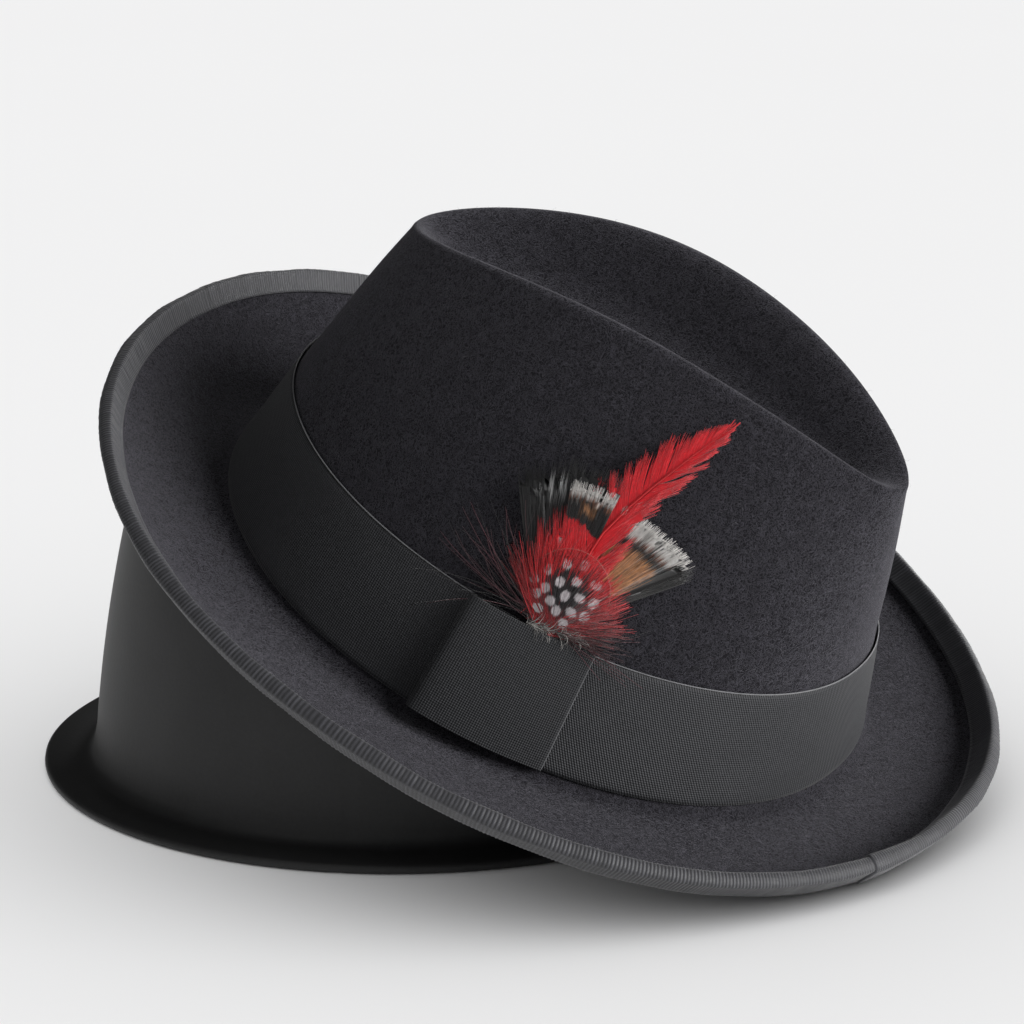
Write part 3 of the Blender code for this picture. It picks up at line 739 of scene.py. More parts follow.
def make_band(pose, material, thread):
    """The ribbon round the crown, closed under the bow, and the paler thread along its top edge."""
    theta = BAND_JOINED_AT + np.linspace(0, 2 * math.pi, BAND_AROUND + 1)
    heights = np.linspace(RIBBON_FOOT, BAND_HEIGHT, 30)
    grid_theta, grid_height = np.meshgrid(theta, heights)
    far = RIBBON_GAP + RIBBON
    base = wall_point(grid_theta, grid_height)
    near_edge = np.minimum(grid_height - heights[0], heights[-1] - grid_height)
    round_off = 0.00025 * np.exp(-near_edge / 0.0006)
    wave = swell(base, 0.03, seed=21) * 0.00016 + swell(base, 0.012, seed=22) * 0.00005
    settle = np.clip(near_edge / 0.003, 0, 1)
    outer = off_wall(grid_theta, grid_height, far - round_off + wave * settle)
    inner = off_wall(grid_theta[::6], grid_height[::6], np.full(grid_theta[::6].shape, CLEAR))
    section = np.concatenate([outer, inner[::-1]])
    columns = BAND_AROUND + 1
    faces = grid_faces(len(section), columns, close_rows=True)
    faces.append([row * columns for row in range(len(section))])
    faces.append([row * columns + columns - 1 for row in reversed(range(len(section)))])
    along = arc_length(outer[len(heights) // 2]) / MM
    turn = (theta - BAND_JOINED_AT) / (2 * math.pi)
    slant = np.where(turn < 0.5, 1.0, np.clip((0.80 - turn) / 0.25, 0.15, 1.0))
    weave = np.zeros((*section.shape[:2], 3))
    rise = np.concatenate([heights, heights[::6][::-1]])[:, None] / MM
    weave[..., 0] = along[None, :] / BAND_RIB + slant[None, :] * rise / BAND_SLANT
    weave[..., 1] = rise / BAND_PICK
    piece("hat_band_ribbon", section.reshape(-1, 3), faces, material,
          ["hat_band"], weave=weave.reshape(-1, 3), pose=pose, closed=True)
    top = off_wall(theta, np.full_like(theta, BAND_HEIGHT + CLEAR), np.full_like(theta, far - 1.5 * CLEAR))
    points, faces = tube(top[:-1], np.full(BAND_AROUND, BAND_SELVEDGE), THREAD_SIDES, UPWARDS, ring=True)
    piece("band_selvedge", points, faces, thread, pose=pose, closed=True)


def sheet_normal(grid):
    return unit(np.cross(np.gradient(grid, axis=1), np.gradient(grid, axis=0)))


def bow_angle():
    """The angle that a metre along the crown's wall takes up near the bow."""
    step = 1e-3
    ends = wall_point(np.array([BOW_RIGHT - step, BOW_RIGHT]), np.full(2, BAND_HEIGHT / 2))
    return step / np.linalg.norm(ends[1] - ends[0])


def make_bow(pose, material, thread):
    """The folded ribbon over the band, woven in relief; its right edge is a selvedge stitched down flat."""
    fold = np.array(BOW_FOLD)
    rings = np.stack([fold[:, 0], fold[:, 1], np.zeros(len(fold))], axis=-1)[:, None, :]
    scaled = rings * np.array([BOW_WIDTH, BOW_STAND_OFF, 1.0])
    path, firsts = smooth_between(scaled, 0.0002)
    path = path[:, 0, :2]
    base = RIBBON_GAP + RIBBON + RIBBON_GAP + BOW_LAYER / 2
    cell = BOW_CELL
    low, high = RIBBON_FOOT, BAND_HEIGHT + BOW_OVERLAP
    heights = np.linspace(low, high, int((high - low) / cell * 4) + 1)
    length = arc_length(path)
    woven_to = length[firsts[4]]
    dense = np.arange(0, woven_to, cell / 4)
    coarse = np.linspace(woven_to, length[-1], 34)
    stops = np.concatenate([dense, coarse])

    def surface(stops, heights, side):
        across, off = np.interp(stops, length, path[:, 0]), np.interp(stops, length, path[:, 1])
        theta = BOW_RIGHT - bow_angle() * across
        grid_theta, grid_height = np.meshgrid(theta, heights)
        middle = off_wall(grid_theta, grid_height, base + off[None, :].repeat(len(heights), 0))
        return middle + side * sheet_normal(middle) * BOW_LAYER / 2

    front = surface(stops, heights, 1.0)
    back_stops = np.linspace(0, length[-1], 60)
    back = surface(back_stops, heights, -1.0)
    cross = sheet_normal(front)
    x, y = stops[None, :] / cell, (heights - low)[:, None] / cell
    weave_relief = np.sin(math.pi * x) * np.sin(math.pi * y) * 0.00007
    rows_relief = np.cos(2 * math.pi * y) * 0.00003
    wave = swell(front, 0.02, seed=31) * 0.00025
    inside = np.clip(np.minimum(heights - low, high - heights) / 0.002, 0, 1)[:, None]
    inside = inside * np.clip(np.minimum(stops / 0.002, (length[-1] - stops) / 0.004), 0, 1)[None, :]
    dense_part = np.clip((woven_to - stops) / 0.001, 0, 1)[None, :]
    front = front + cross * ((weave_relief + rows_relief) * dense_part + wave * inside)[..., None]
    section = np.concatenate([front, back[:, ::-1]], axis=1)
    rows, columns = section.shape[:2]
    faces = grid_faces(rows, columns, close_columns=True)
    faces += bow_end(0, len(stops), len(back_stops), columns)
    faces += [list(reversed(f)) for f in bow_end((rows - 1) * columns, len(stops), len(back_stops), columns)]
    weave = np.zeros((rows, columns, 3))
    every = np.concatenate([stops, back_stops[::-1]])
    weave[..., 0] = (every / cell)[None, :]
    weave[..., 1] = ((heights - low) / cell)[:, None]
    piece("bow_ribbon", section.reshape(-1, 3), faces, material,
          ["band_bow"], weave=weave.reshape(-1, 3), pose=pose, closed=True)
    edge = ((front[:, 0] + back[:, 0]) / 2 + cross[:, 0] * 0.4 * BOW_LAYER)[2:-2]
    points, faces = tube(edge, np.full(len(edge), BOW_SELVEDGE), THREAD_SIDES, UPWARDS)
    piece("bow_selvedge", points, faces, thread, pose=pose, closed=True)


def bow_end(first, front_count, back_count, columns):
    """Faces that close one end of the bow's folded section, between its front line and its back line."""
    faces = []
    for i in range(back_count - 1):
        low = i * (front_count - 1) // (back_count - 1)
        high = (i + 1) * (front_count - 1) // (back_count - 1)
        front_line = [first + j for j in range(low, high + 1)]
        back_line = [first + columns - 1 - (i + 1), first + columns - 1 - i]
        faces.append(front_line + back_line)
    return faces


# Feathers, drawn in a flat frame on the crown: across to the hat's back, up the crown, in mm

class FeatherBed:
    """The flat frame that feathers are drawn in, and the way from it onto the crown's wall."""

    def __init__(self, outer):
        faces = grid_faces(*outer.shape[:2], close_columns=True)
        tree = BVHTree.FromPolygons(outer.reshape(-1, 3).tolist(), faces)
        above = (BED_RISE + BAND_HEIGHT - LIP_SIDE) / (BAND_HEIGHT - LIP_SIDE)
        theta = np.array(FEATHERS_AT)
        step = 1e-3
        self.root = wall_point(theta, np.array(BAND_HEIGHT))
        self.up = crown_point(theta, 1 - above, above) - self.root
        turn = wall_point(theta + step, np.array(BAND_HEIGHT)) - self.root
        self.out = unit(np.cross(turn, self.up))
        self.across = unit(np.array([1.0, 0.0, 0.0]) - self.out[0] * self.out)
        self.up = np.cross(self.out, self.across)
        self.span = np.linspace(-60, 60, 61) * MM
        self.rise = np.linspace(-20, 90, 56) * MM
        self.height = np.zeros((len(self.span), len(self.rise)))
        for i, u in enumerate(self.span):
            for j, v in enumerate(self.rise):
                start = self.root + self.across * u + self.up * v + self.out * HEAD_WIDTH
                hit = tree.ray_cast(start.tolist(), (-self.out).tolist())
                self.height[i, j] = HEAD_WIDTH - hit[3] if hit[0] is not None else 0.0

    def place(self, across, up, off):
        """Points on the crown at flat places in metres, off its wall by that distance."""
        x = np.clip((across - self.span[0]) / (self.span[1] - self.span[0]), 0, len(self.span) - 1.001)
        y = np.clip((up - self.rise[0]) / (self.rise[1] - self.rise[0]), 0, len(self.rise) - 1.001)
        i, j = x.astype(int), y.astype(int)
        fx, fy = x - i, y - j
        h = self.height
        wall = blend(blend(h[i, j], h[i + 1, j], fx), blend(h[i, j + 1], h[i + 1, j + 1], fx), fy)
        wall = wall + (RIBBON + RIBBON_GAP + CLEAR) * np.clip(1 - up / MM, 0, 1)
        return (self.root + self.across * across[..., None] + self.up * up[..., None]
                + self.out * (wall + off)[..., None])


def barb_lines(start, angle, length, bend, stations):
    """Flat lines that leave a place at an angle from straight up and bend as they go."""
    t = np.linspace(0, 1, stations)[None, :]
    heading = angle[:, None] + bend[:, None] * t
    step = length[:, None] / (stations - 1)
    across = np.cumsum(np.sin(heading) * step, axis=1) - np.sin(heading[:, :1]) * step
    up = np.cumsum(np.cos(heading) * step, axis=1) - np.cos(heading[:, :1]) * step
    return start[:, :1] + across, start[:, 1:] + up


def web_faces(locks, stations, reach):
    """Quads between neighbouring barbs of one lock, from the shaft to that share of their length."""
    joined = np.flatnonzero(np.diff(locks) == 0)[:, None]
    across = np.arange(int((stations - 1) * reach))[None, :]
    first = joined * stations + across
    return np.stack([first, first + 1, first + stations + 1, first + stations], axis=-1).reshape(-1, 4)


def barbs(name, bed, lines, off, width, tint, finish, nodes, pose, taper=0.75, locks=None, web=0.85):
    """A piece of strands along flat lines in mm: off and width are in mm for each place, tint is its colour.
    Barbs of one lock are joined by a thin web that lies just under them."""
    across, up = lines
    centres = bed.place(across * MM, up * MM, off * MM)
    along = np.gradient(centres, axis=1)
    sides = np.cross(along, bed.out)
    sides /= np.linalg.norm(sides, axis=-1, keepdims=True) + 1e-12
    stations = across.shape[1]
    narrowing = 1 - taper * np.linspace(0, 1, stations)[None, :] ** 2
    points, faces = strands(centres, width * MM / 2 * narrowing, -sides)
    colours = np.repeat(tint, 3, axis=1).reshape(-1, 3)
    if locks is not None:
        faces += (web_faces(locks, stations, web) + len(points)).tolist()
        points = np.concatenate([points, (centres - bed.out * WEB_UNDER).reshape(-1, 3)])
        colours = np.concatenate([colours, tint.reshape(-1, 3) * 0.9])
    piece(name, points, faces, finish, nodes, tint=colours, pose=pose)


def spread(table, at):
    """Values read between the rows of a table at each place; the first column is the place."""
    rows = np.array(table)
    return [np.interp(at, rows[:, 0], rows[:, i]) for i in range(1, rows.shape[1])]


# The long red feather's shaft (up, across), and its barbs by where they leave it:
# (up, left length, left angle, right length, right angle)
RED_SHAFT = ((0.0, -2.0), (14.0, -1.6), (32.6, -1.2), (42.0, 0.9), (50.4, 3.5), (63.8, 8.3), (75.3, 12.7))
RED_BARBS = (
    (0.0, 27.0, 44, 16.0, 26),
    (10.0, 25.0, 37, 20.0, 28),
    (20.0, 19.0, 36, 20.0, 28),
    (32.0, 15.0, 40, 16.0, 28),
    (40.0, 14.0, 42, 14.0, 28),
    (48.0, 14.0, 40, 13.0, 27),
    (58.0, 11.0, 36, 11.0, 24),
    (66.0, 8.0, 30, 9.0, 21),
    (73.0, 4.0, 18, 4.5, 15),
)


def make_red_feather(bed, pose, material):
    """The long dyed feather: barbs on both sides of a fine shaft, parted into locks on its left."""
    rng = np.random.default_rng(41)
    count = 700
    at = np.linspace(3.0, 75.0, count)
    (shaft,) = spread(RED_SHAFT, at)
    lean = np.arctan(np.gradient(shaft, at))
    left, left_angle, right, right_angle = spread(RED_BARBS, at)
    starts, headings, lengths, bends, layers, locks = [], [], [], [], [], []
    for side, reach, angle in ((-1, left, left_angle), (1, right, right_angle)):
        lock = np.cumsum(rng.random(count) < (0.075 if side < 0 else 0.045))
        nudge = rng.normal(size=lock.max() + 1)[lock]
        lump = rng.uniform(0.80, 1.06, lock.max() + 1)[lock]
        starts.append(np.stack([shaft, at], axis=-1))
        angle_here = np.radians(angle) * (1 + 0.035 * rng.normal(size=count)) + 0.045 * nudge
        headings.append(lean + side * angle_here)
        lengths.append(reach * lump * rng.uniform(0.90, 1.06, count))
        bends.append(-side * rng.uniform(0.10, 0.30, count))
        layers.append(0.25 * nudge)
        locks.append(lock + (0 if side < 0 else 10000))
    start = np.concatenate(starts)
    lines = barb_lines(start, np.concatenate(headings), np.concatenate(lengths), np.concatenate(bends), 9)
    share = np.linspace(0, 1, 9)[None, :]
    off = 2.4 + 0.9 * share + np.concatenate(layers)[:, None] * share + 1.6 * (lines[1] / 75) ** 2
    width = np.full(off.shape, 0.24) * rng.uniform(0.85, 1.2, (len(off), 1))
    left_tips = (share > 0.9) * (np.arange(len(off)) < count)[:, None]
    shade = rng.uniform(0.80, 1.12, (len(off), 1)) * (1 - 0.35 * left_tips)
    tint = shade[..., None] * DYED_RED
    barbs("red_feather_vane", bed, lines, off, width, tint, material, ["red_feather"], pose,
          locks=np.concatenate(locks))
    up = np.linspace(4.0, 75.0, 60)
    (across,) = spread(RED_SHAFT, up)
    path = bed.place(across * MM, up * MM, (3.1 + 1.6 * (up / 75) ** 2) * MM)
    radii = np.linspace(SHAFT_AT_FOOT, SHAFT_AT_TIP, len(path))
    points, faces = tube(path, radii, SHAFT_SIDES, ACROSS_FEATHERS)
    piece("red_feather_shaft", points, faces, material,
          tint=np.tile([SHAFT_RED], (len(points), 1)), pose=pose, closed=True)


def make_hackle(bed, pose, material):
    """Red fibres that fan out behind the spotted feather, darker at the sides and tips."""
    rng = np.random.default_rng(43)
    count = 1080
    angle = np.radians(rng.uniform(-66, 84, count))
    side = np.abs(np.degrees(angle)) / 75
    length = rng.uniform(0.72, 1.05, count) * np.where(angle < 0, 25 - 5 * side, 24 - 3 * side)
    start = np.stack([rng.normal(-1.5, 2.2, count), rng.uniform(1.0, 4.5, count)], axis=-1)
    bend = rng.normal(0, 0.16, count) - 0.15 * np.sign(angle)
    lines = barb_lines(start, angle, length, bend, 9)
    share = np.linspace(0, 1, 9)[None, :]
    off = 2.9 + rng.uniform(-0.5, 0.9, (count, 1)) + 1.6 * share * rng.uniform(0.2, 1.6, (count, 1))
    width = np.full(off.shape, 0.26) * rng.uniform(0.7, 1.2, (count, 1))
    deep = (side[:, None] - 0.62) * 2.2 + 0.5 * (share - 0.55) + rng.normal(0, 0.16, (count, 1))
    tint = blend(HACKLE_RED, HACKLE_WINE, np.clip(deep, 0, 1)[..., None])
    tint = tint * rng.uniform(0.7, 1.15, (count, 1, 1))
    barbs("hackle_fibres", bed, lines, off, width, tint, material, ["hackle_tuft"], pose)
    make_wisps(bed, pose, material, rng)


def make_wisps(bed, pose, material, rng):
    """Long curved wisps to both sides of the hackle, in groups by angle from straight up and length in mm."""
    groups = ((-104, -52, 46, 22.0, 38.0), (74, 104, 26, 16.0, 27.0), (-52, -30, 16, 20.0, 30.0))
    angles, lengths = [], []
    for low, high, number, short, long in groups:
        angles.append(rng.uniform(low, high, number))
        lengths.append(rng.uniform(short, long, number))
    angle, length = np.radians(np.concatenate(angles)), np.concatenate(lengths)
    count = len(angle)
    foot = rng.normal(-1.0, 2.0, count) + 3 * np.sign(angle)
    start = np.stack([foot, rng.uniform(1.5, 5.0, count)], axis=-1)
    bend = rng.normal(0.0, 0.45, count) - 0.25 * np.sign(angle)
    lines = barb_lines(start, angle, length, bend, 14)
    share = np.linspace(0, 1, 14)[None, :]
    off = 2.2 + rng.uniform(-0.6, 1.2, (count, 1)) + 2.6 * share * rng.uniform(0.1, 1.4, (count, 1))
    off = off + 0.35 * np.sin(share * 9 + rng.uniform(0, 6, (count, 1)))
    width = np.full(off.shape, 0.17) * rng.uniform(0.7, 1.3, (count, 1))
    pink = WISP_PINK * rng.uniform(0.25, 1.2, (count, 1, 1))
    dark = (rng.random((count, 1)) < 0.45)[..., None]
    tint = np.where(dark, WISP_BLACK, pink) * np.ones((1, 14, 1))
    barbs("hackle_wisps", bed, lines, off, width, tint, material, (), pose, taper=0.6)


# Centres of the black feather's white flecks (across, up), in mm
WHITE_FLECKS = ((-20.8, 35.9), (-17.4, 37.4))


def make_black_feather(bed, pose, material):
    """A dark glossy feather at the upper left, its web parted into locks with fringed ends."""
    rng = np.random.default_rng(47)
    count = 420
    angle = np.sort(rng.uniform(-38, -7, count))
    lock = np.cumsum(rng.random(count) < 0.05)
    nudge = rng.normal(size=lock.max() + 1)[lock]
    reach = 47.5 - 3.5 * np.abs(angle + 12) / 26 + rng.uniform(-1.6, 0.8, count) + 1.1 * nudge
    start = np.stack([rng.normal(-3.0, 1.2, count), rng.uniform(2.0, 6.0, count)], axis=-1)
    heading = np.radians(angle) + 0.018 * nudge + 0.22 * np.radians(angle)
    lines = barb_lines(start, heading, reach - start[:, 1], np.full(count, 0.16), 12)
    share = np.linspace(0, 1, 12)[None, :]
    off = 1.5 + 0.45 * nudge[:, None] * share + 2.2 * share**2 + rng.uniform(-0.15, 0.15, (count, 1))
    width = np.full(off.shape, 0.23) * rng.uniform(0.8, 1.3, (count, 1)) * (0.6 + 0.5 * share)
    shade = rng.uniform(0.006, 0.022, (count, 1)) * np.ones_like(share)
    tint = shade[..., None] * GLOSSY_BLACK
    flat_angle, radius = np.degrees(np.arctan2(lines[0], lines[1])), np.hypot(lines[0], lines[1])
    for across, up in WHITE_FLECKS:
        near = np.abs(flat_angle - math.degrees(math.atan2(across, up))) / 1.3
        near = np.hypot(near, (radius - math.hypot(across, up)) / 2.2) + rng.normal(0, 0.25, (count, 1))
        tint = np.where((near < 1)[..., None], 0.62, tint)
    barbs("black_feather_vane", bed, lines, off, width, tint, material, ["black_feather"], pose,
          locks=lock, web=0.93)


def make_banded_feather(bed, pose, material):
    """A copper feather whose end has a dark bar, a pale rusty line and a fringed white tip."""
    rng = np.random.default_rng(53)
    count = 600
    angle = np.sort(rng.uniform(-27, 37, count))
    lock = np.cumsum(rng.random(count) < 0.03)
    nudge = rng.normal(size=lock.max() + 1)[lock]
    grow = np.clip((angle - 8) / 26, 0, 1)
    left = angle < -5
    bar = np.where(left, 37.6, 34.0 + 3.6 * grow)
    reach = bar + np.where(left, 5.6, 8.0) + rng.uniform(-1.0, 0.9, count)
    reach = reach - 2.2 * np.clip((angle - 31) / 5, 0, 1)
    start = np.stack([rng.normal(0.0, 0.7, count), rng.uniform(1.0, 3.0, count)], axis=-1)
    heading = np.radians(angle) + 0.008 * nudge
    lines = barb_lines(start, heading, reach - start[:, 1] * 0.9, np.full(count, 0.03), 24)
    share = np.linspace(0, 1, 24)[None, :]
    radius = np.hypot(lines[0], lines[1])
    off = 0.9 + 2.0 * share**2 + 0.15 * nudge[:, None] * share + rng.uniform(-0.08, 0.08, (count, 1))
    off = off + (left & (angle > -23))[:, None] * 2.6 * np.clip((share - 0.6) / 0.3, 0, 1)
    width = np.full(off.shape, 0.24) * rng.uniform(0.8, 1.2, (count, 1)) * (0.5 + 0.6 * share)
    copper = COPPER * rng.uniform(0.65, 1.25, (count, 1, 1))
    mottle = 0.5 + 0.5 * np.sin(radius * 2.1 + rng.normal(0, 0.7, (count, 1)))
    copper = copper * (0.62 + 0.55 * mottle[..., None])
    white = TIP_WHITE * rng.uniform(0.82, 1.08, (count, 1, 1))
    place = radius - bar[:, None] + rng.normal(0, 0.22, (count, 1))
    tint = np.where((place < -1.6)[..., None], copper, BAR_BLACK)
    tint = np.where(((place > 1.5) & (place <= 2.3))[..., None], RUST, tint)
    tint = np.where((place > 2.3)[..., None], white, tint)
    inner = np.clip((20 - radius) / 8, 0, 1)[..., None]
    tint = blend(tint, BAR_BLACK, inner)
    # Barbs under the red and black feathers are made black, a painted shade; the brown spot among them keeps
    # its own colour
    behind = (angle < -3)[:, None] & (radius < 37.4)
    spot = ((angle > -17) & (angle < -10))[:, None] & (radius > 35.4)
    tint = np.where((behind & ~spot)[..., None], BAR_BLACK, tint)
    tint = np.where((behind & spot)[..., None], copper * 0.5, tint)
    # The barbs at the far right are made black: a painted shadow
    tint = np.where((angle > 32.5)[:, None, None], BAR_BLACK, tint)
    barbs("banded_feather_vane", bed, lines, off, width, tint, material,
          ["banded_feather"], pose, locks=lock, web=0.96)


# Centres of the spotted feather's white spots (across, up), in mm
SPOTS = (
    (-8.5, 16.3), (-5.0, 20.2), (-0.3, 22.6), (-10.7, 11.9), (-3.9, 15.1), (0.1, 17.7),
    (5.1, 19.5), (-6.6, 11.5), (-8.0, 8.8), (-0.6, 12.6), (3.2, 14.2), (7.1, 15.0),
    (-3.5, 9.2), (-5.5, 5.6), (-0.7, 7.7), (3.0, 9.6), (6.9, 10.3), (2.7, 5.7),
)
SPOT_RADIUS = 1.55
SPOTTED_MIDDLE = (-0.7, 14.0)
SPOTTED_RADIUS = 11.6


def make_spotted_feather(bed, pose, material):
    """The round feather with white spots on dark and red barbs, and a pale pink line round its top edge that
    is a painted highlight.
    """
    rng = np.random.default_rng(59)
    count, stations = 300, 42
    root = np.array([0.8, 1.6])
    angle = np.sort(rng.uniform(-64, 66, count))
    heading = np.radians(angle)
    towards = np.stack([np.sin(heading), np.cos(heading)], axis=-1)
    middle = np.array(SPOTTED_MIDDLE)
    along = towards @ (middle - root)
    away = np.sum((middle - root) ** 2) - along**2
    reach = along + np.sqrt(np.maximum(SPOTTED_RADIUS**2 - away, 4.0))
    reach = reach * rng.uniform(0.97, 1.02, count)
    start = np.tile(root, (count, 1)) + rng.normal(0, 0.35, (count, 2))
    lines = barb_lines(start, heading, reach, rng.normal(0, 0.02, count), stations)
    share = np.linspace(0, 1, stations)[None, :]
    dome = 1 - ((lines[0] - middle[0]) ** 2 + (lines[1] - middle[1]) ** 2) / SPOTTED_RADIUS**2
    off = 4.0 + 1.5 * np.clip(dome, -0.2, 1) + rng.uniform(-0.12, 0.12, (count, 1))
    width = 0.10 + 0.24 * share * np.ones((count, 1))
    edge = np.hypot(lines[0] - middle[0], lines[1] - middle[1]) / SPOTTED_RADIUS
    reds = np.clip((edge - 0.50) * 2.4 + rng.normal(0, 0.34, (count, 1)), 0, 1)
    tint = blend(SPOTTED_BLACK, SPOTTED_RED, reds[..., None])
    nearest = np.full(share.shape, 99.0) + np.zeros((count, 1))
    for across, up in SPOTS:
        squash = 1.0 + 0.12 * math.sin(across * 7 + up)
        nearest = np.minimum(nearest, np.hypot((lines[0] - across) * squash, (lines[1] - up) / squash))
    ragged = SPOT_RADIUS * rng.uniform(0.86, 1.08, (count, 1))
    spot = np.clip((ragged - nearest) / 0.18, 0, 1)
    split = (rng.random((count, 1)) < 0.16) & (edge > 0.72)
    spot = np.where(split, 0.0, spot)[..., None]
    tint = blend(tint, SPOT_WHITE * rng.uniform(0.85, 1.05, (count, 1, 1)), spot)
    barbs("spotted_feather_vane", bed, lines, off, width, tint, material,
          ["spotted_feather"], pose, taper=0.3, locks=np.zeros(count), web=0.97)
    # A pale pink tube along the disc's top edge: a painted highlight
    turn = np.radians(np.linspace(-72, 88, 60))
    across = middle[0] + (SPOTTED_RADIUS + 0.2) * np.sin(turn)
    up = middle[1] + (SPOTTED_RADIUS + 0.2) * np.cos(turn)
    path = bed.place(across * MM, up * MM, np.full(60, 4.4 * MM))
    points, faces = tube(path, np.full(len(path), SPOTTED_HIGHLIGHT_LINE), SHAFT_SIDES, ACROSS_FEATHERS)
    piece("spotted_feather_painted_highlight", points, faces, material,
          tint=np.tile([HIGHLIGHT_PINK], (len(points), 1)), pose=pose, closed=True)


def make_down(bed, pose, material):
    """Grey and white down round the tied quills, at the bow's top edge."""
    rng = np.random.default_rng(61)
    count = 420
    along = rng.uniform(0, 1, count)
    start = np.stack([-6.0 + 15.5 * along, 0.3 + 4.2 * along + rng.normal(0, 0.45, count)], axis=-1)
    angle = np.radians(rng.normal(62, 34, count))
    length = rng.uniform(1.6, 5.2, count)
    lines = barb_lines(start, angle, length, rng.normal(0, 0.9, count), 7)
    share = np.linspace(0, 1, 7)[None, :]
    off = 3.3 + rng.uniform(-0.8, 1.2, (count, 1)) + 0.7 * share
    width = np.full(off.shape, 0.15) * rng.uniform(0.6, 1.4, (count, 1))
    pale = rng.random((count, 1, 1)) < 0.55
    grey = np.where(pale, rng.uniform(0.30, 0.62, (count, 1, 1)), rng.uniform(0.02, 0.12, (count, 1, 1)))
    tint = grey * DOWN_TINT * np.ones((1, 7, 1))
    barbs("quill_down", bed, lines, off, width, tint, material, ["feather_quills"], pose)


# Stand

def stand_wall(height):
    """The radius of the stand's wall at a height."""
    share = height / TAPER_HEIGHT
    taper = STAND_TAPER * ((1 - TAPER_CURVED) * share + TAPER_CURVED * share**2)
    return STAND_FLANGE / 2 - FLANGE_WIDTH - taper


def stand_rings(top, theta, slope):
    """The rings of the stand, from under its flange to its top; slope is the direction that its top faces."""

    def at(radius, height):
        level = np.ones_like(theta)
        return np.stack([radius * np.cos(theta), radius * np.sin(theta), height * level], axis=-1)

    def top_height(radius):
        plan = slope[0] * radius * np.cos(theta) + slope[1] * radius * np.sin(theta)
        return top - plan / slope[2]

    edge = np.full_like(theta, top)
    for _ in range(12):
        edge = top_height(stand_wall(edge))
    half, thick = STAND_FLANGE / 2, FLANGE_THICKNESS
    rings = [at(half - thick * 0.5, 0.0), at(half - thick * 0.08, thick * 0.22), at(half, thick * 0.5)]
    rings += [at(half - thick * 0.05, thick * 0.8), at(half - thick * 0.35, thick)]
    foot = stand_wall(0.0)
    rings.append(at(foot + FLANGE_FILLET * 1.6, thick))
    for turn in np.radians(np.linspace(0, 90, 7)):
        outward, up = FLANGE_FILLET * (1 - math.sin(turn)), FLANGE_FILLET * (1 - math.cos(turn))
        rings.append(at(foot + outward, thick + up))
    low = thick + FLANGE_FILLET
    for share in np.linspace(0.05, 1.0, 20):
        height = low + (edge - STAND_SHOULDER - low) * share
        rings.append(at(stand_wall(height), height))
    for turn in np.radians(np.linspace(12, 90, 8)):
        radius = stand_wall(edge) - STAND_SHOULDER * (1 - math.cos(turn))
        rings.append(at(radius, top_height(radius) - STAND_SHOULDER * (1 - math.sin(turn))))
    for share in (0.85, 0.6, 0.3):
        radius = (stand_wall(edge) - STAND_SHOULDER) * share
        rings.append(at(radius, top_height(radius)))
    return np.array(rings)


def make_stand(pose, material):
    """The plain round stand, with its flange and faint seam, its top sloping as the hat lies."""
    theta = np.linspace(0, 2 * math.pi, STAND_AROUND, endpoint=False)
    slope = np.array(pose)[:3, 2]
    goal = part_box("display_stand")[1].z
    low, high = 0.02, goal
    for _ in range(30):
        top = (low + high) / 2
        if stand_rings(top, theta, slope)[..., 2].max() > goal:
            high = top
        else:
            low = top
    rings = stand_rings(top, theta, slope)
    from_seam = (theta - STAND_SEAM_AT + math.pi) % (2 * math.pi) - math.pi
    groove = STAND_SEAM_DEPTH * np.exp(-((from_seam / STAND_SEAM_WIDTH) ** 2))
    plan = rings[..., :2]
    rings[..., :2] = plan * (1 - groove[None, :] / np.linalg.norm(plan, axis=-1))[..., None]
    count = len(theta)
    faces = grid_faces(len(rings), count, close_columns=True)
    faces.append(list(reversed(range(count))))
    faces.append([(len(rings) - 1) * count + i for i in range(count)])
    piece("stand_moulding", rings.reshape(-1, 3), faces, material, ["display_stand"], closed=True)


# Stage

def make_floor():
    """A wide pale floor."""
    mesh = bpy.data.meshes.new("floor")
    corners = [(x * FLOOR_REACH, y * FLOOR_REACH, 0.0) for x, y in ((-1, -1), (1, -1), (1, 1), (-1, 1))]
    mesh.from_pydata(corners, [], [(0, 1, 2, 3)])
    floor = bpy.data.objects.new("floor", mesh)
    bpy.context.scene.collection.objects.link(floor)
    paint = Finish("floor_paint", roughness=0.9, specular=0.1)
    paint.colour(paint.mix(paint.noise(paint.place(), 0.5), *FLOOR_COLOURS))
    mesh.materials.append(paint.material)
    return floor


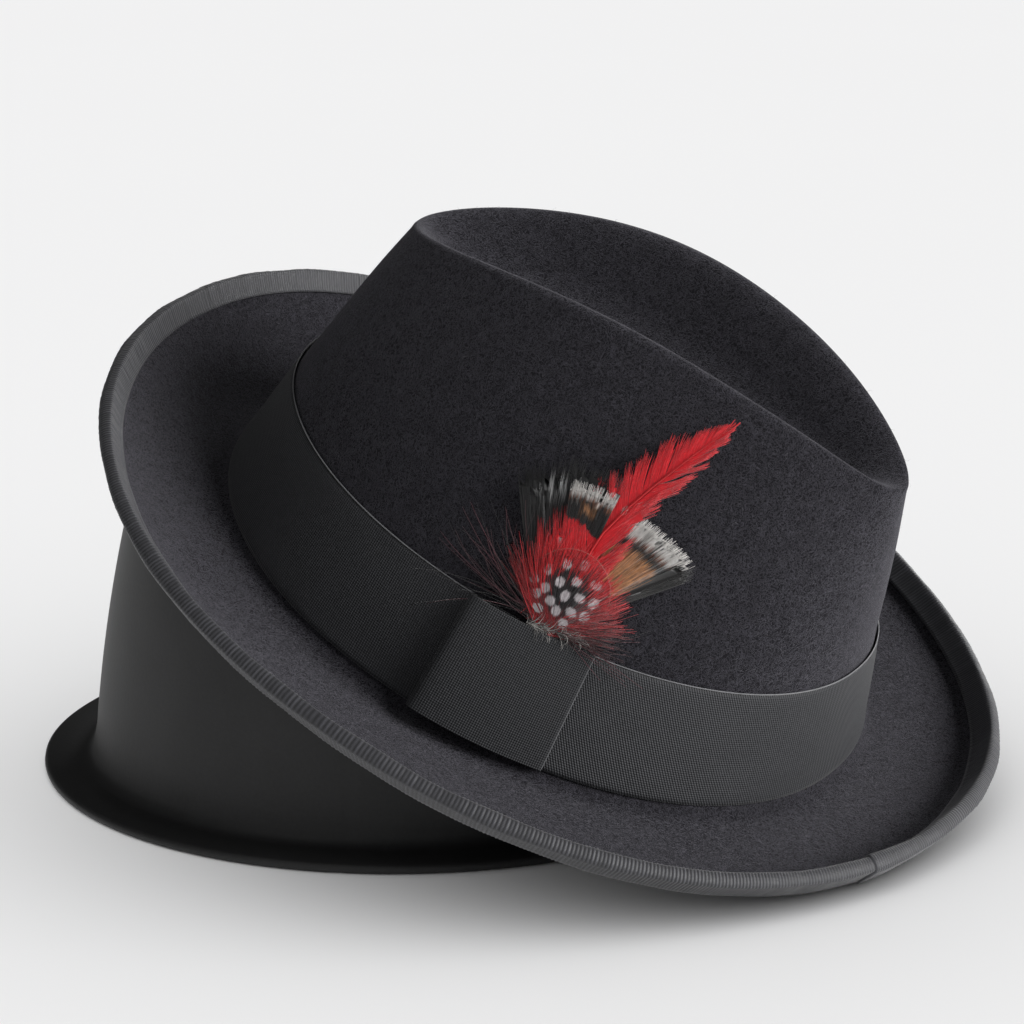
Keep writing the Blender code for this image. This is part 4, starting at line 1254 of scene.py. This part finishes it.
def make_light(floor):
    """The room's light and the suns."""
    world = bpy.data.worlds.new("studio")
    world.use_nodes = True
    world.node_tree.nodes["Background"].inputs["Color"].default_value = SKY
    world.node_tree.nodes["Background"].inputs["Strength"].default_value = AMBIENT
    bpy.context.scene.world = world
    only_floor = bpy.data.collections.new("only_floor")
    only_floor.objects.link(floor)
    all_but_floor = bpy.data.collections.new("all_but_floor")
    all_but_floor.objects.link(floor)
    all_but_floor.collection_objects[0].light_linking.link_state = "EXCLUDE"
    for name, azimuth, height, power, width in SUNS:
        lamp = bpy.data.lights.new(name, "SUN")
        lamp.energy = power
        lamp.angle = math.radians(width)
        sun = bpy.data.objects.new(name, lamp)
        sun.rotation_euler = (math.radians(90 - height), 0.0, math.radians(azimuth))
        sun.light_linking.receiver_collection = only_floor if name == "overhead" else all_but_floor
        bpy.context.scene.collection.objects.link(sun)


def make_camera():
    """The photo's view, with its plain tones."""
    camera = bpy.data.objects.new("camera", bpy.data.cameras.new("camera"))
    camera.data.lens = CAMERA_LENS
    camera.data.sensor_width = CAMERA_SENSOR
    camera.location = CAMERA_PLACE
    camera.rotation_euler = (CAMERA_TILT, 0.0, 0.0)
    bpy.context.scene.collection.objects.link(camera)
    bpy.context.scene.camera = camera
    bpy.context.scene.view_settings.view_transform = "Standard"


def main():
    make_light(make_floor())
    make_camera()
    pose = hat_matrix()
    outer, normals = make_felt(pose, felt_finish())
    make_fuzz(pose, outer, normals, feather_finish("felt_fibre", 0.9, 0.3))
    make_binding(pose, binding_finish())
    make_band(pose, ribbon_finish("band_ribbon", *BAND_COLOURS), thread_finish("band_selvedge"))
    make_bow(pose, ribbon_finish("bow_ribbon", *BOW_COLOURS), thread_finish("bow_selvedge"))
    bed = FeatherBed(outer)
    barb = feather_finish("feather_barbs", 0.5, 0.2)
    make_banded_feather(bed, pose, barb)
    make_black_feather(bed, pose, feather_finish("glossy_barbs", 0.35, 0.1))
    make_red_feather(bed, pose, barb)
    make_hackle(bed, pose, barb)
    make_spotted_feather(bed, pose, barb)
    make_down(bed, pose, barb)
    make_stand(pose, stand_finish())


main()
